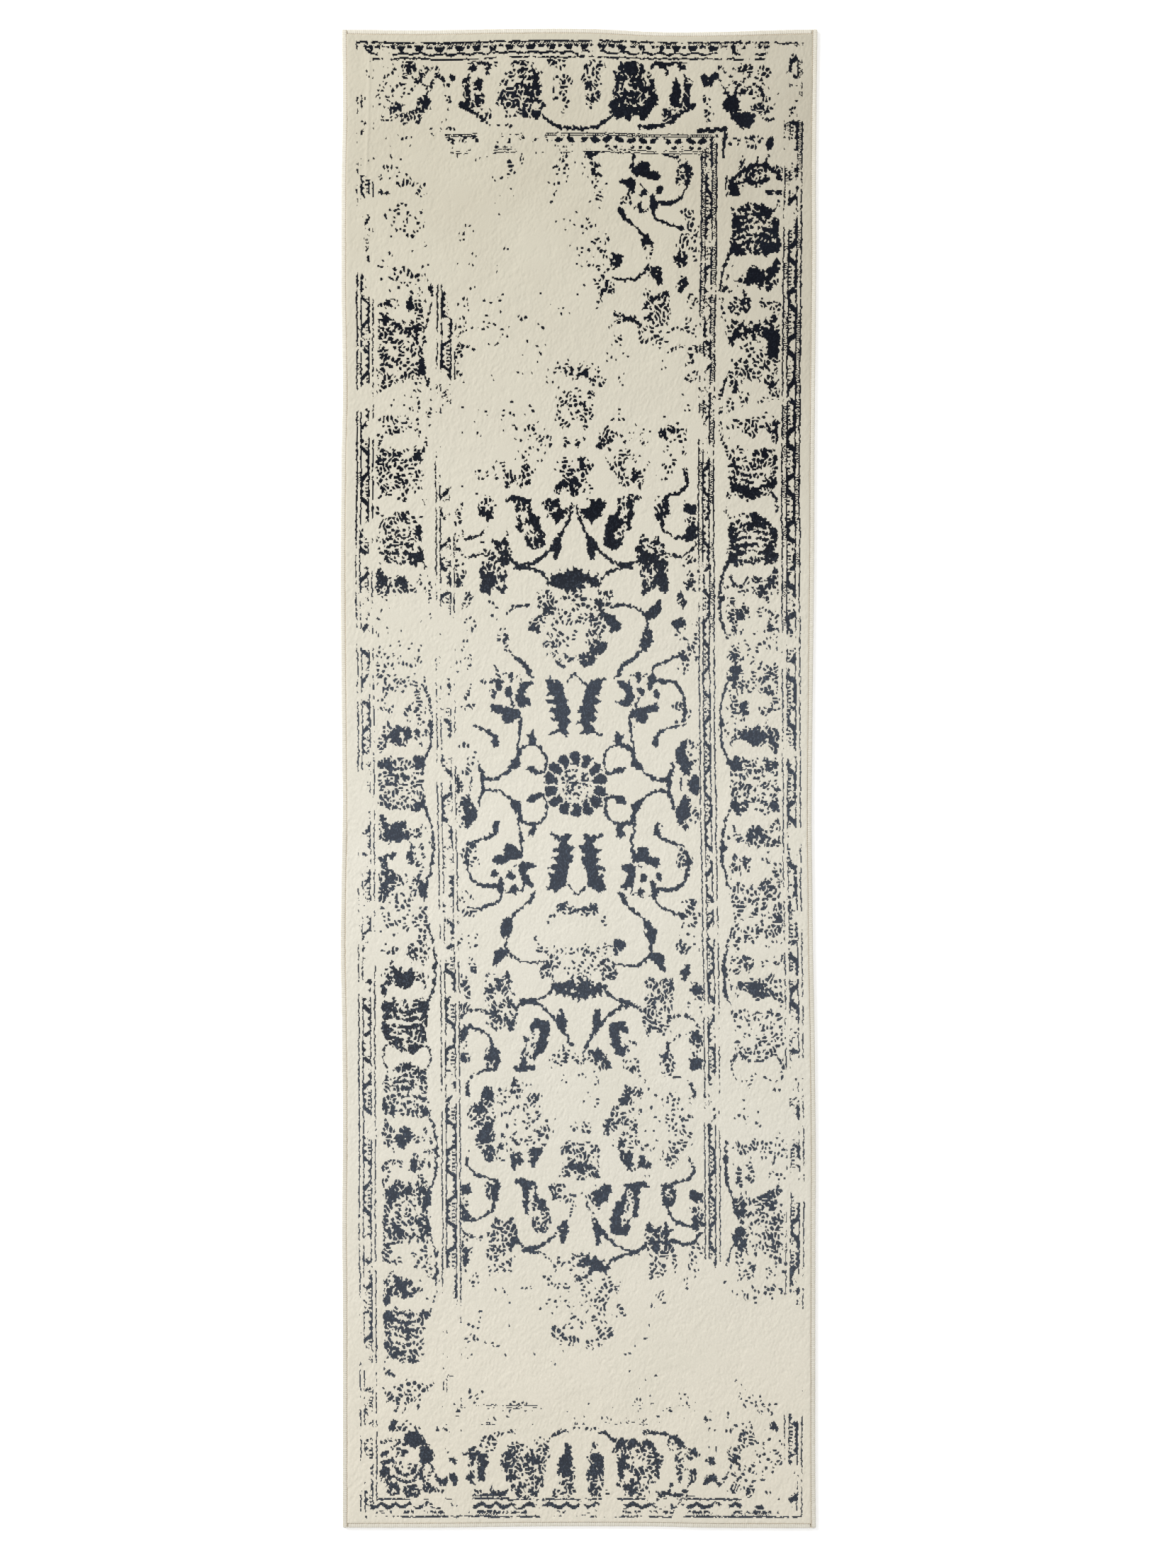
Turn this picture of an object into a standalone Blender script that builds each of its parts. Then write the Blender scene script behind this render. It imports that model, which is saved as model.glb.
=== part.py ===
"""Runner rug, 0.67 m by 2.13 m, machine woven with a cut pile and overlocked on all four edges.

Frame: X across the rug, Y along it towards the head end, Z up. The origin is under the centre of the
rug, on the surface that it lies on. Lengths are in metres.

From the floor up the rug is a latex backing, a woven ground cloth and the pile tufts. The tufts are
grouped by the zones of a traditional runner: the field, and round it an inner guard stripe, a main
border, an outer guard stripe and a plain margin. An overlock wraps each edge of the ground cloth round
a filler cord, and one line of needle thread holds that overlock down.
"""

import math

import bmesh
import bpy
from mathutils import Matrix, Vector

MM = 0.001

# Driving dimensions of the whole rug.
RUG_WIDTH = 670 * MM
RUG_LENGTH = 2130 * MM
GAP = 0.3 * MM

# Layers, from the floor up.
LATEX_THICK = 0.8 * MM
GROUND_THICK = 2.0 * MM
PILE_TOP = 10.0 * MM
GROUND_LOW = LATEX_THICK + GAP
GROUND_HIGH = GROUND_LOW + GROUND_THICK
PILE_LOW = GROUND_HIGH + GAP

# The overlock that wraps each edge, the filler cord inside it and the needle thread beside it.
WRAP_WIDTH = 7.0 * MM
WRAP_HEIGHT = 8.4 * MM
WRAP_ROUNDING = 2.8 * MM
WRAP_ROUNDING_STEPS = 4
CORD_RADIUS = 1.2 * MM
CORD_INSET = 3.1 * MM
CORD_SIDES = 16
CORD_HEIGHT = (GROUND_LOW + GROUND_HIGH) / 2
THREAD_RADIUS = 0.4 * MM
THREAD_SIDES = 8
GROOVE = 1.6 * MM
THREAD_INSET = WRAP_WIDTH + GROOVE / 2
THREAD_HEIGHT = GROUND_HIGH + GAP + THREAD_RADIUS
GROUND_INSET = CORD_INSET + CORD_RADIUS + GAP
LATEX_INSET = WRAP_WIDTH + GAP
PILE_INSET = WRAP_WIDTH + GROOVE
PILE_EDGE_ROUNDING = 2.5 * MM
PILE_EDGE_STEPS = 3
CUTTER_OVERRUN = 10 * MM

# Each zone of the pile from the outside in: half its size across and along, and its yarn.
ZONES = (
    ("margin", RUG_WIDTH / 2 - PILE_INSET, RUG_LENGTH / 2 - PILE_INSET, "cream_pile"),
    ("outer_guard", 319 * MM, 1050 * MM, "navy_pile"),
    ("main_border", 289 * MM, 1020 * MM, "cream_pile"),
    ("inner_guard", 203 * MM, 918 * MM, "navy_pile"),
    ("field", 176 * MM, 887 * MM, "cream_pile"),
)

# Each edge: the way out of the rug.
EDGES = {
    "left": Vector((-1, 0, 0)),
    "right": Vector((1, 0, 0)),
    "head": Vector((0, 1, 0)),
    "foot": Vector((0, -1, 0)),
}

# Each material: its colour and its roughness.
FINISHES = {
    "cream_pile": ((0.62, 0.57, 0.46), 0.95),
    "navy_pile": ((0.030, 0.040, 0.065), 0.95),
    "overlock_yarn": ((0.60, 0.54, 0.43), 0.85),
    "filler_cord": ((0.55, 0.50, 0.40), 0.90),
    "needle_thread": ((0.52, 0.45, 0.34), 0.60),
    "ground_cloth": ((0.42, 0.35, 0.25), 0.90),
    "latex": ((0.62, 0.58, 0.50), 0.70),
}


def clear_scene():
    for old in list(bpy.data.objects):
        bpy.data.objects.remove(old)


def make_collection(name):
    collection = bpy.data.collections.new(name)
    bpy.context.scene.collection.children.link(collection)
    return collection


def make_material(name):
    colour, roughness = FINISHES[name]
    material = bpy.data.materials.new(name)
    material.use_nodes = True
    shader = material.node_tree.nodes["Principled BSDF"]
    shader.inputs["Base Color"].default_value = (*colour, 1.0)
    shader.inputs["Roughness"].default_value = roughness
    shader.inputs["Metallic"].default_value = 0.0
    return material


def add_object(name, bm, collection, material=None):
    """Turns a bmesh into an object of a collection, and frees it."""
    mesh = bpy.data.meshes.new(name)
    bm.to_mesh(mesh)
    bm.free()
    if material is not None:
        mesh.materials.append(material)
    obj = bpy.data.objects.new(name, mesh)
    collection.objects.link(obj)
    return obj


def block(size):
    """A box centred on its own origin."""
    bm = bmesh.new()
    bmesh.ops.create_cube(bm, size=1.0)
    bmesh.ops.scale(bm, vec=size, verts=bm.verts)
    return bm


def rod(radius, length, sides):
    """A round bar along Y, centred on its own origin."""
    bm = bmesh.new()
    bmesh.ops.create_cone(
        bm,
        cap_ends=True,
        segments=sides,
        radius1=radius,
        radius2=radius,
        depth=length,
        matrix=Matrix.Rotation(math.pi / 2, 4, "X"),
    )
    return bm


def add_layer(name, half_x, half_y, low, high, collection, material=None):
    """A box that is centred over the origin, between two heights."""
    layer = add_object(name, block((2 * half_x, 2 * half_y, high - low)), collection, material)
    layer.location.z = (low + high) / 2
    return layer


def add_cut(obj, cutter):
    """Cuts one object out of another and hides the cutter."""
    cut = obj.modifiers.new(cutter.name, "BOOLEAN")
    cut.operation = "DIFFERENCE"
    cut.solver = "EXACT"
    cut.object = cutter
    cutter.hide_render = True
    cutter.display_type = "WIRE"


def add_rounding(obj, width, steps, is_rounded):
    """Rounds the edges between two points that is_rounded accepts."""
    weights = obj.data.attributes.new("bevel_weight_edge", "FLOAT", "EDGE")
    points = obj.data.vertices
    for edge, weight in zip(obj.data.edges, weights.data):
        start, end = (points[i].co for i in edge.vertices)
        weight.value = 1.0 if is_rounded(start, end) else 0.0
    rounding = obj.modifiers.new("rounding", "BEVEL")
    rounding.limit_method = "WEIGHT"
    rounding.width = width
    rounding.segments = steps


def add_ground(rug, materials):
    """The ground cloth, whose edges reach into the overlock, and the latex under it."""
    add_layer(
        "ground_cloth",
        RUG_WIDTH / 2 - GROUND_INSET,
        RUG_LENGTH / 2 - GROUND_INSET,
        GROUND_LOW,
        GROUND_HIGH,
        rug,
        materials["ground_cloth"],
    )
    add_layer(
        "latex_backing",
        RUG_WIDTH / 2 - LATEX_INSET,
        RUG_LENGTH / 2 - LATEX_INSET,
        0.0,
        LATEX_THICK,
        rug,
        materials["latex"],
    )


def add_pile(rug, cutters, materials):
    """The zones of the pile, each but the field a frame round the next one."""
    zones = {}
    for zone, half_x, half_y, yarn in ZONES:
        zones[zone] = add_layer(f"{zone}_pile", half_x, half_y, PILE_LOW, PILE_TOP, rug, materials[yarn])
    add_rounding(
        zones["margin"],
        PILE_EDGE_ROUNDING,
        PILE_EDGE_STEPS,
        lambda start, end: start.z > 0 and end.z > 0,
    )
    for (zone, *_), (inner, half_x, half_y, _) in zip(ZONES, ZONES[1:]):
        opening = add_layer(
            f"{inner}_opening",
            half_x + GAP,
            half_y + GAP,
            PILE_LOW - CUTTER_OVERRUN,
            PILE_TOP + CUTTER_OVERRUN,
            cutters,
        )
        add_cut(zones[zone], opening)


def place_beside_edge(obj, outward, inset, height):
    """Puts a bar that is modelled along Y beside an edge of the rug, its middle inset from that edge."""
    if outward.y:
        obj.rotation_euler.z = math.pi / 2
    across = outward.x * (RUG_WIDTH / 2 - inset)
    along = outward.y * (RUG_LENGTH / 2 - inset)
    obj.location = (across, along, height)


def add_overlock(edge, outward, rug, cutters, materials):
    """The yarn that wraps one edge, with a bore for the filler cord and a slot for the ground cloth."""
    length = RUG_LENGTH if outward.x else RUG_WIDTH - 2 * LATEX_INSET
    wrap = add_object(
        f"{edge}_overlock",
        block((WRAP_WIDTH, length, WRAP_HEIGHT)),
        rug,
        materials["overlock_yarn"],
    )
    place_beside_edge(wrap, outward, WRAP_WIDTH / 2, WRAP_HEIGHT / 2)
    add_rounding(
        wrap,
        WRAP_ROUNDING,
        WRAP_ROUNDING_STEPS,
        lambda start, end: start.y * end.y < 0,
    )
    slot_width = 2 * (WRAP_WIDTH - GROUND_INSET + GAP)
    slot = add_object(
        f"{edge}_cloth_slot",
        block((slot_width, length + CUTTER_OVERRUN, GROUND_THICK + 2 * GAP)),
        cutters,
    )
    place_beside_edge(slot, outward, WRAP_WIDTH, CORD_HEIGHT)
    add_cut(wrap, slot)
    bore = add_object(
        f"{edge}_cord_bore",
        rod(CORD_RADIUS + GAP, length + CUTTER_OVERRUN, CORD_SIDES),
        cutters,
    )
    place_beside_edge(bore, outward, CORD_INSET, CORD_HEIGHT)
    add_cut(wrap, bore)
    return length


def add_strand(name, radius, length, sides, rug, material):
    """A smooth round strand, such as the filler cord or the needle thread."""
    strand = add_object(name, rod(radius, length, sides), rug, material)
    strand.data.shade_smooth()
    strand.data.set_sharp_from_angle(angle=math.radians(60))
    return strand


def add_edges(rug, cutters, materials):
    """An overlock on each edge, with its cord and its thread. Those of the ends fit between the sides."""
    for edge, outward in EDGES.items():
        length = add_overlock(edge, outward, rug, cutters, materials)
        cord = add_strand(
            f"{edge}_filler_cord",
            CORD_RADIUS,
            length,
            CORD_SIDES,
            rug,
            materials["filler_cord"],
        )
        place_beside_edge(cord, outward, CORD_INSET, CORD_HEIGHT)
        if outward.x:
            thread_length = RUG_LENGTH - 2 * (THREAD_INSET + THREAD_RADIUS + GAP)
        else:
            thread_length = RUG_WIDTH - 2 * (THREAD_INSET - THREAD_RADIUS)
        thread = add_strand(
            f"{edge}_needle_thread",
            THREAD_RADIUS,
            thread_length,
            THREAD_SIDES,
            rug,
            materials["needle_thread"],
        )
        place_beside_edge(thread, outward, THREAD_INSET, THREAD_HEIGHT)


def main():
    clear_scene()
    rug = make_collection("runner_rug")
    cutters = make_collection("cutters")
    materials = {name: make_material(name) for name in FINISHES}
    add_ground(rug, materials)
    add_pile(rug, cutters, materials)
    add_edges(rug, cutters, materials)


main()
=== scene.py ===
"""A worn runner rug, laid flat: five zones of pile, ground cloth, latex and overlocked edges. Metres, +Z up.

The pattern is drawn in millimetres on the rug's plan: x across it, y along it towards its head end.
"""

import bpy
import numpy as np
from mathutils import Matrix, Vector


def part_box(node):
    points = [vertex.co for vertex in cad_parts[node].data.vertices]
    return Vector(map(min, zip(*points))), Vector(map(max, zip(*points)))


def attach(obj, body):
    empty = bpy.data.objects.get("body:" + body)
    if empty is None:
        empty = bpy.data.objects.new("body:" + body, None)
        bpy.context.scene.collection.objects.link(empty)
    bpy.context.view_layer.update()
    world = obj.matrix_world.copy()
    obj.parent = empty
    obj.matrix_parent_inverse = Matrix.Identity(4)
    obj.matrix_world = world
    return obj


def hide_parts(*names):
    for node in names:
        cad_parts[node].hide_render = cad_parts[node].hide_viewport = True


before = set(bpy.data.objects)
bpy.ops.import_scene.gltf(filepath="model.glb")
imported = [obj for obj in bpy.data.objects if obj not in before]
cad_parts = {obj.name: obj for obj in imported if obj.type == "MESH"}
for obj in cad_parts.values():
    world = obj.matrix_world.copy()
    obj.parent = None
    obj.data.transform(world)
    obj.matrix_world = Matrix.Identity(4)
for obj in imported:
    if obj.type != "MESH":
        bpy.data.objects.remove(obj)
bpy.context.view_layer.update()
MM = 0.001

# The design's own lines on the rug's plan, in millimetres.
FIELD_MIRROR = 486.0
FIELD_HALF = 177.5
CENTRE_Y = -8.0
END_OUTER = 1048.0
LEFT_GUARD, RIGHT_GUARD = 170.5, 177.0

# Pile: one knot is two cells across and two along.
CELL_X, CELL_Y = 1.0, 1.5
ZONES = ("margin", "outer_guard", "main_border", "inner_guard", "field")


def node_box(name):
    """Lowest and highest corner of a CAD node, in millimetres."""
    low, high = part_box(name)
    return np.array(low) / MM, np.array(high) / MM


def smooth(points, steps=5):
    """A Catmull-Rom curve through the points."""
    p = np.asarray(points, float)
    if len(p) == 2:
        return p
    p = np.vstack([2 * p[0] - p[1], p, 2 * p[-1] - p[-2]])
    t = np.linspace(0, 1, steps, endpoint=False)[:, None]
    runs = []
    for a, b, c, d in zip(p, p[1:], p[2:], p[3:]):
        runs.append(
            0.5 * (2 * b + (c - a) * t + (2 * a - 5 * b + 4 * c - d) * t**2 + (3 * b - a - 3 * c + d) * t**3)
        )
    return np.vstack([*runs, p[-2:-1]])


class Drawing:
    """Ink density from 0 to 1 on a 1 mm grid, drawn from given shapes. A later shape covers earlier ones."""

    def __init__(self, low, high):
        self.low = np.array(low, float)
        self.shape = (int(high[1] - low[1]) + 1, int(high[0] - low[0]) + 1)
        self.ink = np.zeros(self.shape, np.float32)

    def window(self, points, margin):
        """The part of the grid round some points: slices and places, or None if they lie outside it."""
        points = np.asarray(points, float)
        low = np.floor(points.min(0) - margin - self.low).astype(int)
        high = np.ceil(points.max(0) + margin - self.low).astype(int) + 1
        c0, r0 = np.maximum(low, 0)
        c1, r1 = np.minimum(high, self.shape[::-1])
        if c1 <= c0 or r1 <= r0:
            return None
        rows, columns = np.mgrid[r0:r1, c0:c1]
        return (slice(r0, r1), slice(c0, c1)), columns + self.low[0], rows + self.low[1]

    def fill(self, points, ink=1.0):
        view = self.window(points, 1)
        if view is None:
            return
        where, x, y = view
        inside = np.zeros(x.shape, bool)
        for (x0, y0), (x1, y1) in zip(points, points[1:] + points[:1]):
            if y0 == y1:
                continue
            crosses = (y0 <= y) != (y1 <= y)
            inside ^= crosses & (x < x0 + (y - y0) * (x1 - x0) / (y1 - y0))
        self.ink[where][inside] = ink

    def blob(self, x, y, rx, ry, turn=0.0, ink=1.0):
        reach = max(rx, ry)
        view = self.window([(x - reach, y - reach), (x + reach, y + reach)], 1)
        if view is None:
            return
        where, gx, gy = view
        angle = np.radians(turn)
        along = (gx - x) * np.cos(angle) + (gy - y) * np.sin(angle)
        across = (gy - y) * np.cos(angle) - (gx - x) * np.sin(angle)
        self.ink[where][(along / rx) ** 2 + (across / ry) ** 2 < 1] = ink

    def blobs(self, *rows):
        for row in rows:
            self.blob(*row)

    def stroke(self, points, width, ink=1.0):
        path = smooth(points)
        view = self.window(path, width)
        if view is None:
            return
        where, x, y = view
        near = np.full(x.shape, np.inf)
        for (x0, y0), (x1, y1) in zip(path, path[1:]):
            dx, dy = x1 - x0, y1 - y0
            along = np.clip(((x - x0) * dx + (y - y0) * dy) / (dx * dx + dy * dy + 1e-9), 0, 1)
            near = np.minimum(near, np.hypot(x - x0 - along * dx, y - y0 - along * dy))
        self.ink[where][near < width / 2 + 0.4] = ink

    def read(self, x, y):
        """Ink at any points, interpolated."""
        fx = np.clip(x - self.low[0], 0, self.shape[1] - 1.001)
        fy = np.clip(y - self.low[1], 0, self.shape[0] - 1.001)
        c, r = fx.astype(int), fy.astype(int)
        a, b = fx - c, fy - r
        ink = self.ink
        top = ink[r, c] * (1 - a) + ink[r, c + 1] * a
        bottom = ink[r + 1, c] * (1 - a) + ink[r + 1, c + 1] * a
        return top * (1 - b) + bottom * b


def drawn(low, high, *motifs):
    """A drawing with some motifs, in the order that they are given."""
    drawing = Drawing(low, high)
    for motif in motifs:
        motif(drawing)
    return drawing


def rosette(d):
    """A ring of petals round a speckled eye."""
    for angle in (90, 64, 38, 13, -13):
        ring = [(26, -9), (36, -11), (43, -10), (46, -3), (46, 4), (43, 10), (36, 11), (26, 9)]
        turned = [(r, np.radians(angle + a)) for r, a in ring]
        d.fill([(r * np.cos(a), r * np.sin(a)) for r, a in turned], 0.97)
    d.blob(0, 0, 22, 22, 0, 0.4)
    d.stroke([(0, 13), (6, 12), (11, 7), (12, 0)], 3, 0.8)
    d.stroke([(0, 5), (4, 4), (5, 0)], 2, 0.8)
    d.blob(13, 16, 4, 3, 40, 0.7)


def twin_leaves(d):
    """Two leaves that stand on the rosette, and the stems over them."""
    d.fill([
        (7, 70), (14, 69), (21, 73), (28, 72), (36, 67), (39, 71), (30, 76), (24, 81), (25, 88), (34, 91),
        (35, 94), (26, 96), (28, 101), (37, 104), (30, 107), (28, 112), (41, 118), (42, 121), (31, 121),
        (29, 127), (40, 127), (37, 132), (41, 143), (44, 151), (36, 149), (33, 154), (28, 147), (23, 149),
        (21, 144), (16, 145), (14, 138), (15, 132), (13, 123), (9, 113), (6, 106), (6, 101), (11, 100),
        (9, 94), (4, 90), (2, 87), (9, 86), (13, 81), (10, 74),
    ])
    d.stroke([(0, 159), (6, 150), (13, 144)], 2)


def scroll(d):
    """The scroll beside the rosette, and its leaves."""
    d.stroke([
        (62, 19), (50, 15), (44, 20), (41, 30), (43, 43), (50, 52), (60, 56), (70, 55), (78, 50), (83, 39),
        (88, 27), (96, 18), (105, 12), (114, 8), (126, 8),
    ], 3.6)
    d.fill([(50, 17), (57, 13), (66, 15), (72, 25), (63, 26), (55, 22)])
    d.fill([(57, 54), (55, 62), (57, 70), (61, 77), (64, 71), (71, 73), (66, 62), (66, 54)])
    d.fill([(77, 46), (80, 36), (77, 27), (84, 23), (92, 20), (97, 22), (93, 30), (88, 38), (84, 44)])
    d.stroke([(78, 96), (79, 80), (80, 68), (82, 56), (83, 44)], 3.6)


def stem_petals(d):
    """Petals at the top of the scroll's stem."""
    d.fill([
        (78, 92), (84, 94), (88, 88), (96, 85), (102, 87), (105, 93), (103, 99), (110, 100), (118, 103),
        (121, 109), (116, 115), (108, 113), (98, 110), (90, 107), (84, 108), (78, 104),
    ])
    d.fill([
        (79, 110), (72, 110), (63, 112), (60, 116), (68, 121), (72, 126), (69, 134), (61, 142), (60, 147),
        (68, 147), (74, 145), (79, 137), (83, 128), (84, 119), (82, 112),
    ])
    d.stroke([(88, 112), (91, 120), (95, 128)], 2.4, 0.8)
    d.blobs((94, 131, 5.5, 7, 20), (117, 128, 5, 7, 0, 0.95), (90, 151, 5, 8, 0))
    d.stroke([(85, 153), (78, 154), (77, 144), (80, 134)], 2.4, 0.8)
    d.stroke([(94, 154), (102, 155)], 3, 0.7)


def hook_vine(d):
    """The vine from the knot round the lacy flower to a hook."""
    d.fill([(104, 134), (104, 150), (106, 158), (112, 158), (116, 150), (122, 143), (112, 142), (109, 132)])
    d.stroke([
        (112, 146), (130, 147), (143, 143), (151, 134), (156, 121), (158, 106), (154, 93), (146, 84),
        (134, 79), (123, 75), (116, 66), (114, 56),
    ], 4)
    d.stroke([(116, 146), (138, 145)], 5)
    d.fill([(111, 68), (109, 56), (114, 51), (120, 55), (120, 66), (117, 72)])
    for x, y, rx, ry, turn in ((153, 104, 12, 15, 10), (146, 112, 8, 8, 0), (150, 88, 8, 7, 0)):
        d.blob(x, y, rx, ry, turn, 0.55)
    d.stroke([(156, 122), (158, 106), (154, 93)], 4)


def lower_vine(d):
    """The lower vine from the knot to the flower at the edge."""
    d.stroke([(108, 153), (111, 165), (119, 171), (131, 175), (142, 180), (156, 185), (174, 180)], 3.8)
    d.blobs(
        (158, 165, 11, 12, 0, 0.34), (160, 188, 15, 13, 0, 0.5), (152, 204, 10, 14, 20, 0.34),
        (147, 181, 7, 4, 20, 0.9), (149, 226, 10, 11, 0, 0.78), (151, 219, 3, 4, 0, 0.2),
        (169, 214, 6, 18, 0, 0.36),
    )


def drop_vine(d):
    """The long vine to the drop leaf beside the big palmette."""
    d.stroke([
        (59, 151), (66, 165), (76, 174), (86, 182), (95, 192), (102, 204), (103, 222), (102, 242),
    ], 3.4)
    d.blob(65, 162, 4, 9, -20)
    d.fill([
        (94, 190), (92, 202), (95, 212), (100, 224), (105, 226), (110, 214), (112, 204), (106, 196),
        (102, 188),
    ], 0.9)
    d.fill([(101, 236), (112, 234), (120, 238), (122, 250), (124, 262), (116, 258), (108, 250), (102, 246)])
    d.stroke([(40, 251), (60, 254), (80, 254), (92, 248), (101, 238)], 3.6)


def big_palmette(d):
    """The big palmette on the centre line, with its crown and base."""
    d.blob(0, 232, 48, 36, 0, 0.46)
    d.fill([
        (37, 248), (45, 243), (56, 240), (65, 232), (66, 220), (58, 217), (50, 214), (50, 224), (46, 231),
        (38, 240),
    ])
    d.fill([(20, 203), (36, 206), (48, 202), (46, 190), (38, 184), (26, 184), (22, 192)], 0.9)
    d.fill([(-1, 176), (2, 186), (12, 189), (24, 187), (32, 179), (26, 168), (16, 167), (8, 172)], 0.92)
    d.fill([
        (-1, 314), (3, 304), (7, 302), (10, 309), (13, 299), (17, 298), (21, 306), (24, 297), (29, 296),
        (34, 301), (34, 290), (41, 286), (33, 281), (22, 280), (13, 274), (6, 267), (-1, 265),
    ])
    d.fill([
        (34, 284), (40, 276), (53, 276), (56, 268), (52, 256), (42, 247), (28, 246), (20, 250), (28, 258),
        (32, 270),
    ], 0.74)
    d.blob(13, 264, 5, 4, 0, 0.9)
    d.stroke([(6, 240), (14, 232), (26, 234), (34, 226)], 3, 0.75)
    d.stroke([(4, 222), (14, 214), (28, 216), (36, 208)], 3, 0.75)


def half_flower(d):
    """Half a flower at the edge of the field."""
    d.fill([
        (157, 66), (151, 60), (143, 53), (140, 42), (143, 30), (148, 22), (153, 12), (160, 14), (170, 24),
        (177, 32), (177, 54), (168, 58), (162, 66),
    ], 0.62)
    d.fill([
        (156, 64), (150, 58), (143, 52), (141, 42), (144, 32), (149, 24), (154, 14), (160, 20), (160, 34),
        (157, 46), (160, 58),
    ], 0.95)
    d.fill([(158, -2), (161, 8), (167, 14), (177, 12), (178, -2)])
    d.stroke([(137, 31), (138, 22), (132, 12), (131, -3)], 5)
    d.stroke([(126, 8), (134, 12)], 4)
    d.stroke([(149, 8), (150, -3)], 2.5)


def small_flower(d):
    """A small flower beyond the drop leaf."""
    d.fill([(146, 272), (151, 276), (154, 268), (160, 262), (157, 250), (150, 252), (144, 262)], 0.85)


def side_palmette(d):
    """The ribbed palmette beside the big one."""
    d.fill([
        (89, 336), (93, 344), (95, 358), (101, 351), (108, 346), (114, 349), (121, 354), (126, 344),
        (129, 332), (132, 318), (135, 302), (135, 284), (132, 271), (120, 271), (112, 280), (104, 270),
        (97, 268), (94, 280), (98, 290), (93, 300), (97, 310), (89, 320),
    ], 0.76)
    d.fill([
        (92, 322), (90, 334), (95, 344), (96, 356), (103, 346), (112, 342), (122, 350), (126, 336),
        (128, 322), (116, 316), (104, 318),
    ], 0.84)
    d.fill([(120, 298), (133, 300), (135, 284), (131, 272), (121, 272), (118, 284)], 0.86)
    for t in (340, 326, 311, 296):
        d.stroke([(95, t + 4), (112, t - 1), (130, t + 3)], 4, 0.93)
    d.blob(101, 302, 7, 6, 0, 0.45)
    d.stroke([(112, 312), (111, 296), (104, 280)], 2, 0.25)


def palmette_vines(d):
    """Vines between the palmettes."""
    d.stroke([(36, 284), (40, 294), (49, 301), (62, 306), (84, 308)], 3.6)
    d.stroke([(26, 341), (38, 330), (48, 321), (60, 314), (74, 312), (84, 314), (91, 320)], 4)
    d.stroke([(3, 396), (6, 382), (12, 368), (18, 355), (26, 341)], 3.6)
    d.fill([(20, 356), (17, 338), (22, 320), (29, 320), (30, 330), (36, 336), (30, 346), (26, 352)])
    d.stroke([(130, 328), (142, 324), (153, 324), (163, 329), (170, 338), (178, 345)], 4.6)
    d.blobs((165, 300, 12, 28, 0, 0.42), (164, 288, 6, 6, 0, 0.75))


def lobed_leaf(d):
    """The three-lobed leaf beside the centre line."""
    d.fill([
        (3, 393), (10, 392), (17, 393), (23, 398), (19, 405), (26, 407), (32, 402), (37, 407), (46, 401),
        (44, 393), (38, 388), (41, 380), (35, 382), (29, 377), (25, 369), (20, 376), (14, 378), (11, 384),
        (5, 387),
    ])


def toothed_leaf(d):
    """A long toothed leaf with a light vein."""
    d.fill([
        (77, 410), (90, 412), (97, 404), (92, 402), (86, 404), (84, 393), (83, 380), (81, 368), (82, 361),
        (73, 360), (69, 353), (70, 344), (65, 334), (55, 333), (43, 337), (42, 348), (41, 356), (47, 362),
        (43, 367), (48, 373), (50, 381), (58, 384), (61, 394), (62, 406), (70, 408),
    ], 0.97)
    d.fill([
        (58, 346), (66, 352), (73, 362), (76, 374), (75, 388), (70, 392), (66, 384), (62, 372), (56, 358),
    ], 0.2)
    d.fill([(62, 364), (68, 368), (70, 378), (66, 380), (63, 372)], 0.9)
    d.blob(70, 393, 5, 8, 20, 0.6)


def mottled_pod(d):
    """A mottled pod with its vines, and the leaves at the edge."""
    d.blobs((125, 394, 11, 17, 10, 0.78), (121, 382, 6, 6))
    d.stroke([(130, 408), (138, 412), (148, 414), (156, 420), (161, 430), (159, 446)], 3.8)
    d.stroke([(123, 376), (127, 363), (136, 355), (150, 350), (166, 347)], 3.8)
    d.fill([(155, 388), (158, 402), (170, 398), (175, 400), (175, 384), (166, 383)])
    d.fill([(155, 347), (158, 360), (168, 370), (176, 366), (176, 350), (166, 345)], 0.92)
    d.blob(165, 374, 8, 7, 0, 0.5)


def centre_flower(d):
    """A flower on the centre line, between the units."""
    d.fill([(-1, 464), (14, 461), (21, 452), (25, 438), (26, 422), (14, 414), (-1, 420)], 0.34)
    d.fill([(-1, 410), (5, 409), (10, 416), (12, 428), (10, 442), (-1, 442)], 0.92)
    d.fill([(8, 430), (14, 420), (20, 412), (28, 414), (27, 424), (20, 430), (12, 436)], 0.95)
    d.blobs((12, 450, 16, 16, 0, 0.6), (20, 455, 7, 4, 15, 0.9), (9, 484, 7, 6, 0, 0.9))
    d.stroke([(44, 484), (52, 464), (64, 444), (74, 430)], 15, 0.3)
    d.blob(44, 481, 12, 8, 0, 0.62)


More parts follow.
